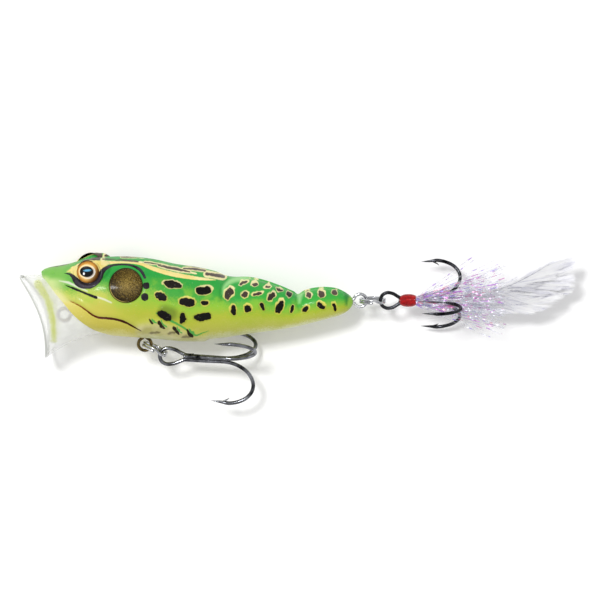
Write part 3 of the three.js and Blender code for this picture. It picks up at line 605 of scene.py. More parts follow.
def paint(points, side):
    """The markings as distances in mm, for the paint's nodes to draw with."""
    px, py, pz = points.T
    top, low = back_line(px), belly_line(px)
    x, y = px, side_view_y(py, pz)
    if side < 0:  # no two sides are sprayed quite alike
        x = x + 0.3 * np.sin(0.35 * x + 1.0)
        y = y + 0.2 * np.sin(0.5 * x)
    sx = x + 0.16 * ripple(x, y, 2.6, 3) + 0.07 * ripple(x, y, 1.1, 4)
    sy = y + 0.13 * ripple(x, y, 2.2, 5) + 0.07 * ripple(x, y, 1.0, 6)
    spot, rim, brown, dx, dy = spot_marks(x, y, sx, sy)
    draw = lambda *line: stroke(x, y, *line)
    crescent = brushed(x, y, CRESCENT, CRESCENT_WIDTH, 120)
    dots = [blob(dx, dy, (cx, cy), (size, size * 1.1), 10) for cx, cy, size in DOTS]
    arm_width = np.interp(np.linspace(0, 1, 40), [0, 0.3, 0.75, 1], [0.2, 0.5, 0.4, 0.08])
    mouth_y = np.interp(x, *np.transpose(MOUTH))
    jaw = smooth(0.5, -0.8, y - mouth_y) * smooth(24.5, 19.5, x)
    jaw_edge = smooth(0.6, 0.0, face_x(y) - x + 2.0) * smooth(2, -1, y) * 0.6 * smooth(9, 5, x)
    nose = smooth(6.5, 2.0, x) * smooth(5.5, 4.0, y)
    beside_face = smooth(3.2, 0.5, px - face_x(py)) * smooth(6.3, 5.2, py)
    outer, flank = pz > 0.0, pz > 2.0
    kept = {  # marks, and where on the body each may lie
        "spot": (spot, outer),
        "rim": (rim, outer),
        "dark": (nearest(crescent, *dots, draw(STREAK, [0.1, 0.5, 0.44, 0.5, 0.66])), flank),
        "crescent": (crescent, flank),
        "arm": (nearest(FAR, *(blob(sx, sy, (cx, cy), (long, 0.78), -50) for cx, cy, long in FLAPS)), flank),
        "green": (nearest(draw(fine(ARM_TOP), arm_width), *(
            blob(sx, sy, (cx + 0.62, cy + 0.24), (long * 0.95, 0.4), -50) for cx, cy, long in FLAPS)), flank),
        "smudge": (nearest(FAR, *(blob(sx, sy, (cx, cy), (long, 0.55), 8) for cx, cy, long in SMUDGES)), outer),
        "white": (nearest(draw([(4.1, 4.3), (6.2, 3.9), (8.0, 3.1), (10.5, 2.0)], [0.05, 0.5, 0.4, 0.2]),
                          draw([(12.6, 0.7), (14.3, 0.15), (15.9, -0.6)], [0.3, 0.34, 0.22])), flank),
        "brow": (nearest(draw([(5.9, 6.35), (8.0, 7.1), (10.4, 7.4)], [0.05, 1.6, 4.4]),
                         draw([(9.4, 6.6), (12.0, 7.6), (14.0, 7.8)], [5.4, 2.9, 1.8]),
                         draw([(12.5, 7.0), (13.2, 5.6), (12.6, 4.8)], [2.2, 0.9, 0.1])), pz > 3.0),
        "cream": (brushed(x, y, STRIPE, STRIPE_WIDTH), pz > 2.5),
        "mouth": (brushed(x, y, MOUTH, MOUTH_WIDTH, 80), outer),
        "leg": (draw(LEG, [3.2, 3.8, 3.4, 2.2, 1.0]), outer),
        # painted highlight along the front edges of the thigh and the shin
        "limb_highlight": (nearest(brushed(x, y, HIP_HIGHLIGHT, [0.4, 0.9, 0.7, 0.1], 30),
                         draw([(58.6, 1.9), (58.0, 0.9), (57.9, -0.6)], [0.5, 0.8, 0.1])), outer),
        "shade": (blob(x, y, (28.6, -2.9), (4.8, 3.6), -20), flank),
        "tailband": (draw([(68.5, 2.1), (68.7, 0.5), (68.5, -0.9)], [0.9, 1.5, 0.7]), pz > 0.4),
    }
    return {
        "height": (y - low) / (top - low + 1e-6),
        "along": px / BODY_END,
        "brown": brown,
        "jaw": np.maximum(jaw, jaw_edge),
        "drum": np.where(flank, np.hypot(px - DRUM[0], py - DRUM[1]), 99.0),
        "drum_lit_side": (px - DRUM[0]) * 0.7 + (py - DRUM[1]) * 0.7,
        "snout": np.maximum(nose, beside_face),
        **{name: mark + np.where(here, 0.0, FAR) for name, (mark, here) in kept.items()},
    }


def ground_colour(g, grain):
    """The sprayed colours under the marks: lime belly to green back, yellow jaw and pale snout, with a painted
    highlight along the front edges of the thigh and the shin.
    """
    a = g.attribute
    soft = g.grain(150, 3, 0.3, -0.15)
    height = g.plus(a("height"), soft, grain)
    along = g.plus(a("along"), g.times(soft, 0.3))
    front = g.ramp(height, [
        (0.0, "cfd29a"), (0.1, "b9b956"), (0.3, "afb63c"), (0.46, "8fba3a"), (0.6, "4aa23c"), (0.8, "2c9a40"),
        (1.0, "37a546"),
    ])
    rear = g.ramp(height, [
        (0.0, "d5d8a0"), (0.1, "bcbf5a"), (0.3, "a6b736"), (0.46, "79b53a"), (0.62, "3fa83f"), (0.84, "309f42"),
        (1.0, "45ab4c"),
    ])
    cheek = g.ramp(height, [(0.3, "c3bb52"), (0.5, "c4c75c"), (0.66, "94c04a"), (0.8, "6ab347")])
    pale_edge = g.ramp(height, [(0.5, "e6e0a6"), (0.85, "c4dc92")])
    jaw = g.ramp(height, [(0.0, "d0ca78"), (0.1, "bdb348"), (0.3, "cec25a"), (0.5, "e1d47c"), (0.62, "ece2a2")])
    lime = g.times(g.span(g.noise(230, 2), 0.5, 0.66), g.span(height, 0.34, 0.5), g.span(height, 0.86, 0.6))
    deep = g.times(g.span(g.noise(190, 3), 0.55, 0.7), g.span(height, 0.44, 0.6))
    leg = g.mottle(300, 4, [(0.35, "c6bf90"), (0.6, "a9a468")])
    ground = g.layers(g.mix(g.span(along, 0.52, 0.66), front, rear), [
        (g.times(g.span(along, 0.33, 0.17), g.span(height, 0.78, 0.5), 0.9), cheek),
        (g.times(g.span(along, 0.15, 0.06), g.span(height, 0.6, 0.74), 0.8), "83bb55"),
        (g.times(a("snout"), 0.78), pale_edge),
        (g.times(a("jaw"), 0.92), jaw),
        (g.times(lime, 0.5), "93c23a"),
        (g.times(deep, 0.45), "1f8a3c"),
        (g.times(g.span(a("leg"), 0.5, -1.4), 0.85), leg),
        (g.times(g.span(a("smudge"), 0.35, -0.25), 0.75), "5c5236"),
        # painted highlight: lighter green along the front edges of the thigh and the shin
        (g.times(g.span(a("limb_highlight"), 0.6, -0.3), 0.7), "a5dc92"),
    ])
    return ground, along


def mark_coats(g, grain, along):
    """The painted marks, in the order that they lie over each other."""
    a = g.attribute
    jitter = g.grain(2400, 3, 0.22, -0.11)
    inside = lambda name, low, high: g.span(g.plus(a(name), jitter), high, low)
    brow = g.mottle(350, 3, [(0.3, "dfca6c"), (0.7, "efe096")])
    cream = g.mottle(250, 3, [(0.3, "e6cf7c"), (0.7, "ecdfa0")])
    rim = g.ramp(a("height"), [(0.3, "d6cf48"), (0.55, "e4d868"), (0.8, "f0e4ac")])
    ink = g.mix(g.plus(a("brown"), g.times(grain, 1.2)), "0b0a07", "5a4d44")
    # painted highlight: the wide dark line under the eye turns a lighter grey along its middle
    slate = g.ramp(g.plus(g.noise(420, 2), g.times(a("crescent"), -0.3)), [(0.42, "1b181d"), (0.9, "4a4550")])
    lip = g.ramp(a("along"), [(0.09, "a65c22"), (0.16, "5c1d0a"), (0.26, "3a0e05")])
    return [
        (g.times(g.span(a("shade"), 0.7, -1.2), 0.6), "4c5a1e"),
        (g.times(inside("green", -0.06, 0.07), 0.85), "2a9a44"),
        (g.span(a("brow"), 0.32, -0.2), brow),
        (inside("cream", -0.06, 0.07), cream),
        (g.times(inside("rim", -0.14, 0.14), 0.95), rim),
        (g.times(g.span(a("spot"), 0.5, 0.0), g.scaled(a("brown"), -0.3, 0.35)), "4d5a1c"),
        (inside("spot", -0.06, 0.07), ink),
        (inside("arm", -0.1, 0.1), "241d10"),
        (g.times(g.span(a("white"), 0.2, -0.15), 0.75), "e4e4d2"),
        (inside("dark", -0.05, 0.06), slate),
        (inside("mouth", -0.05, 0.05), lip),
        (g.times(g.span(a("tailband"), 0.45, -0.5), 0.6), "1d6b2e"),
        (g.times(g.span(along, 0.978, 0.99), 0.7), "9ccb4a"),
    ]


def drum_coats(g, speck):
    """The eardrum: bronze speckle, brighter in the middle and painted lighter towards the upper right, with a
    dark rim and a thin painted highlight inside the rim's lower left.
    """
    drum, drum_lit_side = g.attribute("drum"), g.attribute("drum_lit_side")
    # painted light: the speckle turns lighter towards the upper right, the side the light falls on
    tone = g.plus(g.times(drum, 0.14), g.scaled(speck, 1.9, -0.9), g.times(drum_lit_side, -0.045))
    bronze = g.ramp(tone, [(0.0, "90793a"), (0.25, "5e4d1e"), (0.5, "382c0e"), (0.85, "181106")])
    return [
        (g.span(drum, 3.78, 3.68), bronze),
        (g.times(g.band(drum, 3.72, 0.16, 0.04), 0.85), "20160a"),
        # painted highlight: a thin light line inside the rim's lower left
        (g.times(g.band(drum, 3.52, 0.1, 0.02), g.span(drum_lit_side, -1.6, -3.2), 0.8), "c9b45e"),
    ]


def body_paint():
    g = Graph("frog_paint")
    grain = g.grain(3400, 2, 0.2, -0.1)
    speck = g.noise(4300, 2, 0.75)
    ground, along = ground_colour(g, grain)
    coats = mark_coats(g, grain, along) + drum_coats(g, speck)
    coats.append((g.attribute("face"), g.mottle(260, 2, [(0.35, "e9ebd2"), (0.6, "d3dc86")])))
    coats.append((g.times(g.span(g.noise(1400, 6), 0.64, 0.72), 0.08), "f2f0d8"))  # wear
    g.set(Base_Color=g.layers(ground, coats), Roughness=g.grain(700, 4, 0.16, 0.3))
    g.set(Specular_IOR_Level=0.08, Coat_Weight=0.08, Coat_Roughness=0.08)
    drum_bump = g.times(g.span(g.attribute("drum"), 3.7, 3.5), speck)
    g.bump(g.plus(g.times(g.noise(1100, 4), 0.4), g.times(drum_bump, 1.4)), 0.3, 0.0001)
    return g.material


paint_material = body_paint()
for label, side in (("left", 1), ("right", -1)):
    piece(f"skin_{label}", skin(side), paint_material, "lure_body", f"body_{label}")


# ------------------------------------------------------------------ the clear mouth cup
CUP_TOP, CUP_LOW = np.array([-4.9, 5.6]), np.array([0.9, -13.1])  # the rim's ends
CUP_HALF_WIDTH = 8.8
FOOT_WALL, RIM_WALL = 1.15, 0.62


def flank_at(x, y):
    """The smooth body's half width at a height."""
    middle = (back_line(x) + belly_line(x)) / 2
    half = (back_line(x) - belly_line(x)) / 2
    share = np.minimum(1, np.abs(y - middle) / half)
    return half_width(x) * (1 - share**SECTION) ** (1 / SECTION)


def cup_surface(angle, t):
    """The cup's outside: from the face at t = 0 to the rim at t = 1, angle 0 at the top."""
    edge = fine(FACE[1:-1], 200)
    share = (1 - np.cos(angle)) / 2
    side = np.sin(angle)
    bx, by = (np.interp(share, np.linspace(0, 1, 200), edge[:, k]) for k in (0, 1))
    bz = flank_at(bx, by) * np.clip(2.5 * side, -1, 1)
    chord = CUP_LOW - CUP_TOP
    back = np.array([-chord[1], chord[0]]) / np.linalg.norm(chord)
    setback = 2.3 * side**2
    rim = np.stack([
        CUP_TOP[0] + chord[0] * share + back[0] * setback,
        CUP_TOP[1] + chord[1] * share + back[1] * setback,
        CUP_HALF_WIDTH * side,
    ], -1)
    first = np.stack([bx + 1.0, by + 0.3, bz * 0.985], -1)
    control = np.stack([
        0.5 * first[..., 0] + 0.5 * rim[..., 0] - 0.6 * share,
        first[..., 1] + 0.12 * (rim[..., 1] - first[..., 1]),
        bz * 0.98 + 0.15 * (rim[..., 2] - bz),
    ], -1)
    t = t[..., None]
    return (1 - t) ** 2 * first + 2 * t * (1 - t) * control + t * t * rim


def mouth_cup():
    around, rows = ((200, 54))
    turn = np.linspace(0, 2 * np.pi, around, endpoint=False)[None, :]
    angle, t = np.broadcast_arrays(turn, np.linspace(0.04, 1, rows)[:, None])
    outer = cup_surface(angle, t)
    step = 0.004
    run_round = cup_surface(angle + step, t) - cup_surface(angle - step, t)
    run_out = cup_surface(angle, t) - cup_surface(angle, t - step)
    inward = unit(np.cross(run_round, run_out))
    inner = outer + inward * (FOOT_WALL + (RIM_WALL - FOOT_WALL) * t)[..., None]
    bead = outer[-1] + unit(outer[-1] - outer[-2]) * 0.16 + inward[-1] * RIM_WALL / 2
    loop = np.concatenate([outer, bead[None], inner[::-1], outer[:1]], 0)
    quads = grid_quads(len(loop), around, wrap=True) % (loop[:-1].size // 3)  # its last row is its first
    verts = loop[:-1].reshape(-1, 3)
    rim_share = np.concatenate([t, np.ones((1, around)), t[::-1]], 0).ravel()
    seen = side_view_y(verts[:, 1], verts[:, 2])
    return verts, quads, {
        "rim": np.maximum(rim_share, 0.9 + 0.085 * bell(verts[:, 2], 0.4)),  # with a faint mould line
        "foot": smooth(0.16, 0.05, rim_share),
        # painted refraction: a yellow-green streak where the painted face shows through the cup
        "streak": stroke(verts[:, 0], seen, fine([(-0.8, 3.9), (1.2, 0.6), (2.6, -3.6), (2.9, -9.0)]), 1.3),
    }


def clear_plastic(name, haze, tint):
    """Thin clear plastic: mostly see-through, with a milky haze, a soft yellow-green streak painted where the
    face shows through, standing in for its refracted image, a cream foot, a painted darker rim and a gloss.
    """
    g = Graph(name)
    cloud = g.noise(350, 4)
    scratch = g.span(g.noise(2400, 6, 0.7), 0.58, 0.75)
    # painted refraction: the soft streak stands in for the face seen through the plastic
    streak = g.span(g.plus(g.attribute("streak"), g.scaled(cloud, 1.6, -0.8)), 0.45, -0.45)
    foot = g.span(g.plus(g.attribute("foot"), g.scaled(cloud, 0.3, -0.15)), 0.2, 0.8)
    # painted shade: the rim is painted darker grey and less see-through, standing in for the edge seen along
    # its depth; the faint mould line, a real seam, gets the same grey
    lip = g.span(g.attribute("rim"), 0.95, 0.995)  # the moulded edge is seen through its length
    base = g.layers(g.mix(cloud, tint, "ffffff"), [
        (g.times(streak, 0.9), "c9d34f"),
        (g.times(foot, 0.8), "f1eed2"),
        (g.times(lip, 0.75), "a9aca4"),
    ])
    cover = g.plus(g.scaled(cloud, 0.5 * haze, haze), g.times(streak, 0.12))
    cover = g.plus(cover, g.times(foot, 1.6 * haze), g.times(lip, 3 * haze))
    g.set(Base_Color=base, Alpha=cover, IOR=1.49, Coat_Weight=0.5, Coat_Roughness=0.05)
    g.set(Roughness=g.scaled(scratch, 0.1, 0.06))
    g.bump(g.noise(420, 3), 0.12, 0.00012)
    return g.material


cup_plastic = clear_plastic("clear_cup", 0.27, "f0f1ee")
piece("cup", [outwards(mouth_cup())], cup_plastic, "lure_body", "mouth_cup")


# ------------------------------------------------------------------ eyes
def eye_dome(low, high, reach, rings, around):
    """A shallow dome over the eye's seat, from its middle out."""
    r = np.linspace(0, 1, rings)[:, None] ** 0.8
    angle = np.linspace(0, 2 * np.pi, around, endpoint=False)[None, :]
    z = low + (high - low) * np.sqrt(1 - 0.94 * r**2) - (high - low) * math.sqrt(0.06)
    x, y, z = np.broadcast_arrays(EYE_X + reach * r * np.cos(angle), EYE_Y + reach * r * np.sin(angle), z)
    return np.stack([x, y, z], -1)


def eye_parts(side):
    """The printed disc under its clear dome, with a painted highlight and catchlight on its pupil; the marks
    are in millimetres from the eye's middle.
    """
    rings, around = ((60, 120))
    disc = eye_dome(7.16, 8.2, EYE_R - 0.06, rings, around).reshape(-1, 3)
    u, v = disc[:, 0] - EYE_X, disc[:, 1] - EYE_Y
    marks = {
        "radius": np.hypot(u, v) / EYE_R,
        "pupil": np.hypot((u + 0.28) / 1.5, (v - 0.2) / 1.22),
        "ring": np.hypot((u + 0.2) / 1.86, (v - 0.17) / 1.62),
        "lean": 0.86 * u - 0.5 * v,
        # painted highlight: a blue reflection across the top of the pupil, and a small white catchlight low on
        # its left
        "pupil_highlight": np.hypot((u + 0.13) / 1.0, (v - 0.5 - 0.08 * u) / 0.3),
        "catchlight": np.hypot((u + 0.88) / 0.22, (v + 0.26) / 0.32),
    }
    foil = (disc * (1, 1, side), grid_quads(rings, around, wrap=True, flip=side < 0), marks)
    outer = eye_dome(7.3, 8.62, EYE_R, 30, around)
    inner = eye_dome(7.24, 8.4, EYE_R - 0.1, 30, around)[::-1]
    lens = np.concatenate([outer, inner]).reshape(-1, 3) * (1, 1, side)
    return foil, outwards((lens, grid_quads(60, around, wrap=True), {"streak": FAR, "rim": 0.0}))


def iris_material():
    g = Graph("eye_print")
    a = g.attribute
    streaks = g.noise(3000, 3, 0.6)
    rough = lambda name, size: g.plus(a(name), g.scaled(streaks, size, -size / 2))
    gold = g.ramp(rough("radius", 0.06), [(0.6, "e8c274"), (0.82, "c98f3a"), (0.94, "a8702a"), (1.0, "6a451c")])
    gold = g.mix(g.times(g.span(a("lean"), 0.2, 2.2), 0.85), gold, "4a2409")
    cream = g.mix(g.span(a("lean"), -0.6, 1.4), "f4d9a0", "f0ece4")
    shade = g.times(g.span(a("pupil"), 1.3, 1.02), g.span(a("lean"), -0.2, 1.0), 0.7)
    # the pupil is black, with a painted blue highlight across its top
    black = g.mix(g.times(g.span(rough("pupil_highlight", 0.3), 1.15, 0.45), 0.9), "010102", "66b4de")
    base = g.layers(gold, [
        (g.span(rough("ring", 0.1), 1.06, 0.94), cream),
        (shade, "6a5136"),
        (g.span(a("pupil"), 1.03, 0.98), black),
        # a painted white catchlight
        (g.span(a("catchlight"), 1.15, 0.75), "f6f7fa"),
    ])
    g.set(Base_Color=base, Roughness=g.scaled(streaks, 0.2, 0.25), Specular_IOR_Level=0.08)
    g.bump(streaks, 0.15, 0.00004)
    return g.material


iris = iris_material()
resin = clear_plastic("eye_resin", 0.003, "f6f7f4")
for label, side in (("left", 1), ("right", -1)):
    foil, lens = eye_parts(side)
    piece(f"iris_{label}", [foil], iris, "lure_body", f"eye_foil_{label}")
    piece(f"cornea_{label}", [lens], resin, "lure_body", f"eye_lens_{label}")


# ------------------------------------------------------------------ wire fittings
nickel = metal("bright_nickel", "84868c", "e4e5e8", 0.16, 0.2)
bronze = metal("dark_bronze", "2b2413", "7d6b40", 0.26, 0.4)
black_nickel = metal("black_nickel", "0e0e10", "4a4b50", 0.16, 0.3)
gun_metal = metal("gunmetal", "161619", "8b8d93", 0.14, 0.25)
solder = metal("braze", "8d8a80", "c9c6ba", 0.35, 0.3)

BELLY, TAIL = np.array([23.1, -10.0]), np.array([71.6, -0.1])  # the middles of the hangers' outer loops
BELLY_ANGLE, TAIL_ANGLE = math.radians(-26), 0.0
RING_RADIUS, RING_WIRE, RING_TURNS = 2.8, 0.28, 4 * np.pi - 0.95


def figure_eight(centre, radius, wire, anchor):
    """One wire: out of the anchor loop, round the outer loop and back beside itself."""
    (x, y), (ax, ay) = centre, anchor
    angle = math.atan2(ay - y, ax - x)
    reach = math.hypot(ax - x, ay - y)
    inner = radius * 0.9
    leg = wire * 0.85
    legs = [(reach - inner + wire, leg), (radius + 0.8, leg)]
    outer_turn = np.linspace(0.35, 2 * np.pi - 0.35, 40)  # open towards the anchor
    inner_turn = np.linspace(np.pi + 0.2, 3 * np.pi - 0.2, 30)
    path = legs + [(radius * math.cos(t), radius * math.sin(t)) for t in outer_turn]
    path += [(u, -v) for u, v in legs[::-1]]
    path += [(reach + inner * math.cos(t), inner * math.sin(t)) for t in inner_turn]
    c, s = math.cos(angle), math.sin(angle)
    return tube(spline([(x + u * c - v * s, y + u * s + v * c, 0.0) for u, v in path], 260), wire, 16)


def split_ring(centre, angle):
    """Nearly two turns of wire side by side, with tapered ends."""
    turned = np.linspace(0, RING_TURNS, 300)
    across = 0.3 * (2 * smooth(2 * np.pi - 0.7, 2 * np.pi, turned) - 1)  # steps over to the second turn
    along, up = RING_RADIUS * np.cos(turned + np.pi / 2), RING_RADIUS * np.sin(turned + np.pi / 2)
    c, s = math.cos(angle), math.sin(angle)
    path = np.stack([centre[0] + along * c - across * s, centre[1] + along * s + across * c, up], 1)
    taper = np.minimum(1, 0.55 + 6 * np.minimum(turned, RING_TURNS - turned))
    return tube(path, RING_WIRE * taper, 16, power=2.6)


def step_out(origin, angle, distance):
    return origin + distance * np.array([math.cos(angle), math.sin(angle)])


tie = figure_eight((5.0, -3.3), 1.4, 0.42, (14.0, -0.5))
belly_hanger = figure_eight(BELLY, 1.45, 0.36, (23.1, -4.4))
tail_hanger = figure_eight(TAIL, 1.45, 0.36, (64.4, -0.9))
belly_ring = split_ring(step_out(BELLY, BELLY_ANGLE, 2.55), BELLY_ANGLE)
tail_ring = split_ring(step_out(TAIL, TAIL_ANGLE, RING_RADIUS), TAIL_ANGLE)
piece("tie_wire", [tie], bronze, "lure_body", "line_tie")
piece("belly_wire", [belly_hanger], bronze, "lure_body", "belly_hanger")
piece("tail_wire", [tail_hanger], nickel, "lure_body", "tail_hanger")
piece("belly_ring_wire", [belly_ring], nickel, "belly_ring", "belly_split_ring")
piece("tail_ring_wire", [tail_ring], nickel, "tail_ring", "tail_split_ring")


# ------------------------------------------------------------------ treble hooks, along x from their eye
def hook(h, azimuth, start):
    """One shank, bend and point, with its barb, a sliver lifted from the inside of the wire."""
    bend, gape, point, wire = h["bend"], h["gape"], h["point"], h["wire"]
    seat = wire * 1.34  # the shank's distance from the treble's axis
    line = [
        (start, seat), ((start + bend - 6) / 2, seat), (bend - 6, seat), (bend - 3.7, 0.12 * gape),
        (bend - 1.4, 0.27 * gape), (bend - 0.1, 0.49 * gape), (bend - 0.15, 0.68 * gape),
        (bend - 1.3, 0.85 * gape), (bend - 3.1, 0.955 * gape), (bend - 5.1, gape),
        (point + 2.6, 0.985 * gape), (point + 0.1, 0.962 * gape),
    ]
    out = np.array([0, math.sin(azimuth), math.cos(azimuth)])
    path = spline([(along, away * out[1], away * out[2]) for along, away in line], 220)
    run = lengths_along(path)
    shank = tube(path, wire * np.clip((run[-1] - run) / 3.4, 0.03, 1) ** 0.8, 18)
    root = np.array([point + 3.0, 0, 0]) + out * (0.975 * gape - wire * 0.4)
    tip = np.array([point + 4.2, 0, 0]) + out * (0.975 * gape - wire - 0.55)
    t = np.linspace(0, 1, 12)[:, None]
    barb_path = root + (tip - root) * t + np.array([0.16, 0, 0]) * np.sin(np.pi * t)
    return [shank, tube(barb_path, wire * 0.44 * (1 - t[:, 0]) ** 0.7 + 0.012, 10)]


def eye_loop(h):
    """The treble's eye, drawn in to the shank."""
    radius, end = h["radius"], h["end"]
    half = [
        (end + 1.6, 0.52), (end, 0.5), (end * 0.72, 0.9), (end * 0.36, radius * 0.88),
        (-0.15 * radius, radius), (-0.75 * radius, 0.68 * radius),
    ]
    points = half + [(-radius, 0)] + [(x, -y) for x, y in half[::-1]]
    return tube(spline([(x, y, 0) for x, y in points], 200), h["wire"], 18)


def braze(h):
    """The bead that fills the gap between the three shanks."""
    run = np.linspace(h["end"] + 0.9, h["bend"] - 6.4, 40)
    ends = np.clip(np.minimum(run - run[0], run[-1] - run) * 2 + 0.3, 0, 1)
    bead = 0.34 * h["wire"] / 0.44 * (1 + 0.12 * np.sin(run * 3.1)) * ends
    return tube(np.stack([run, 0 * run, 0 * run], 1), bead, 12)


def placed(parts, centre, tilt=0.0):
    turn = turned_by(math.degrees(tilt)).T
    return [(v @ turn.T + (centre[0], centre[1], 0), q, a) for v, q, a in parts]


TREBLES = {
    "belly": dict(
        centre=step_out(step_out(BELLY, BELLY_ANGLE, 5.85), BELLY_ANGLE - math.pi / 2, 0.2),
        tilt=math.radians(-3.5), roll=math.radians(-1.5), metal=gun_metal,
        wire=0.44, bend=19.6, point=10.2, gape=9.9, radius=1.8, end=4.2),
    "tail": dict(
        centre=step_out(TAIL, TAIL_ANGLE, 6.3), tilt=0.0, roll=math.radians(-162), metal=black_nickel,
        wire=0.4, bend=16.2, point=7.3, gape=9.2, radius=1.75, end=3.0),
}
THIRD = 2 * math.pi / 3
for label, h in TREBLES.items():
    first = -math.pi / 2 + h["roll"]
    double = [eye_loop(h)] + hook(h, first, h["end"] - 0.6) + hook(h, first + THIRD, h["end"] - 0.6)
    single = hook(h, first - THIRD, h["end"] + 0.6)
    for name, parts, plating, node in (
        ("hook_pair", double, h["metal"], f"{label}_treble_double"),
        ("hook_third", single, h["metal"], f"{label}_treble_single"),
        ("braze", [braze(h)], solder, None),
    ):
        parts = placed(parts, h["centre"], h["tilt"])
        piece(f"{label}_{name}", parts, plating, f"{label}_hook", node)


# ------------------------------------------------------------------ the tail's dressing, from its treble's eye
def dressing(name, parts, material, node):
    piece(name, placed(parts, TREBLES["tail"]["centre"]), material, "tail_hook", node)


def thread_wrap():
    """Turns of thread over a sleeve, fuller in the middle."""
    start, end, turns = 2.85, 6.25, 21
    barrel = lambda t: 1.36 - 0.4 * np.abs(2 * t - 1) ** 2.8
    t = np.linspace(0, 1, 28 * turns)
    angle = 2 * np.pi * turns * t
    path = np.stack([start + (end - start) * t, barrel(t) * np.cos(angle), barrel(t) * np.sin(angle)], 1)
    t = np.linspace(0, 1, 30)
    sleeve = tube(np.stack([start + (end - start) * t, 0 * t, 0 * t], 1), barrel(t) + 0.03, 36)
    return [tube(path, 0.092, 8), sleeve]


def thread_material():
    g = Graph("red_thread")
    g.set(Base_Color=g.mottle(1800, 4, [(0.3, "74080c"), (0.55, "ae1015"), (0.75, "c61f20")]))
    g.set(Roughness=g.grain(3000, 2, 0.2, 0.3), Specular_IOR_Level=0.12, Coat_Weight=0.4, Coat_Roughness=0.06)
    g.bump(g.noise(6000, 3), 0.2, 0.00003)
    return g.material


def ribbons(lines, widths, facing, hue):
    """Flat strips along centre lines of equal count; facing holds each strip's flat side."""
    lines, hue = np.asarray(lines), np.asarray(hue)
    count, steps, _ = lines.shape
    side = unit(np.cross(unit(np.gradient(lines, axis=1)), facing))
    offset = side * (np.asarray(widths) / 2)[..., None]
    verts = np.stack([lines - offset, lines + offset], 2)
    base = (np.arange(count) * steps * 2)[:, None]
    k = np.arange(steps - 1)[None, :] * 2
    quads = np.stack([base + k, base + k + 1, base + k + 3, base + k + 2], -1).reshape(-1, 4)
    each = lambda values: np.broadcast_to(values, (count, steps, 2)).ravel()
    marks = {"hue": each(hue[:, None, None]), "run": each(np.linspace(0, 1, steps)[None, :, None])}
    return verts.reshape(-1, 3), quads, marks


STRAYS = [  # angle and length
    (36, 15.8), (34.5, 16.2), (25.5, 20.4), (24, 20.2), (22, 20.9), (-23, 18.0), (-21, 18.4), (-16, 20.5),
]


def tinsel():
    """Twisting strands in a fan on both sides of the shank, with a few strays."""
    count, steps = ((150, 90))
    t = np.linspace(0, 1, steps)
    lines, widths, facing, hue = [], [], [], []
    for k in range(count):
        stray = k < len(STRAYS)
        side = 1 if k % 3 or stray else -1
        if stray:
            angle, length = STRAYS[k]
        else:
            angle = float(rng.uniform(-17, 23) if k % 2 else np.clip(rng.normal(3, 9), -17, 23))
            length = (20.2 - 1.1 * rng.uniform() - 7 * rng.uniform() ** 3) / math.cos(math.radians(angle))
        lift = rng.uniform(0.03, 0.26) if side > 0 else rng.uniform(0.05, 0.15)
        a = math.radians(angle)
        direction = np.array([math.cos(a), math.sin(a), side * lift])
        across = np.array([-math.sin(a), math.cos(a), 0])
        height = (0.45 if angle > 0 else -0.5) + rng.uniform(-0.5, 0.5)
        start = np.array([6.2, height, side * rng.uniform(0.9, 1.45)])
        curl = 0.3 if stray else rng.uniform(-0.9, 0.9)
        wave = rng.uniform(0.02, 0.12)
        sway = curl * t**2 + wave * np.sin(t * rng.uniform(8, 18) + rng.uniform(0, 6))
        lines.append(start + length * t[:, None] * direction + across * sway[:, None])
        twist = rng.uniform(-3, 3) + t * rng.uniform(-16, 16)
        facing.append(np.cos(twist)[:, None] * np.array([0, 0, 1.0]) + np.sin(twist)[:, None] * across)
        widths.append(np.full(steps, rng.uniform(0.17, 0.29)))
        hue.append(0.9 + 0.012 * k if stray else rng.uniform())
    return ribbons(lines, widths, np.array(facing), hue)


def tinsel_material():
    """Clear pearl film with painted pink, orange and blue glints that come and go along each strand, standing
    in for its shifting reflections.
    """
    g = Graph("pearl_tinsel")
    hue = g.attribute("hue")
    steps = [("X", g.times(g.attribute("run"), 11)), ("Y", g.times(hue, 70))]
    # painted glints: short coloured dashes along each strand in place of the film's pearly reflections
    glint = g.noise(1, 1, 0.4, at=g.node("ShaderNodeCombineXYZ", steps).outputs[0])
    strong = g.span(glint, 0.56, 0.61)
    film = g.mottle(800, 2, [(0.36, "a8b2cc"), (0.46, "d2d3dd"), (0.58, "e2e2ea"), (0.7, "b9c8d4")])
    tint = g.ramp(hue, [(0.1, "b868d2"), (0.45, "cf62b6"), (0.7, "de7a90"), (0.95, "9678de")])
    g.set(Base_Color=g.mix(g.times(strong, 0.9), film, tint), Alpha=g.scaled(strong, 0.5, 0.36))
    g.set(Metallic=0.2, Roughness=g.grain(1600, 2, 0.2, 0.16))
    g.bump(g.noise(2500, 2), 0.25, 0.00005)
    return g.material


dressing("thread", thread_wrap(), thread_material(), "thread_wrap")
dressing("tinsel", [tinsel()], tinsel_material(), "tinsel_skirt")

# the quill's line, the barbs' angle, its height, how much the barbs lift, and the barbs' length
FEATHERS = {
    "upper": ([(6.6, 0.6), (16, 1.1), (25.6, 2.9), (31, 5.3), (36, 8.2)], 17, 1.0, 0.02, 7.6),
    "middle": ([(6.6, 0.4), (16, 0.8), (26, 2.0), (35, 4.4)], 17, 0.3, 0.04, 8.6),
    "lower": ([(6.6, -0.5), (15, -0.7), (24, -1.0), (31.5, -0.9)], 13, 0.3, -0.03, 8.0),
    "far": ([(6.6, 0.1), (15, 0.3), (25, 0.9), (34, 2.4)], 16, -1.5, -0.05, 8.4),
}
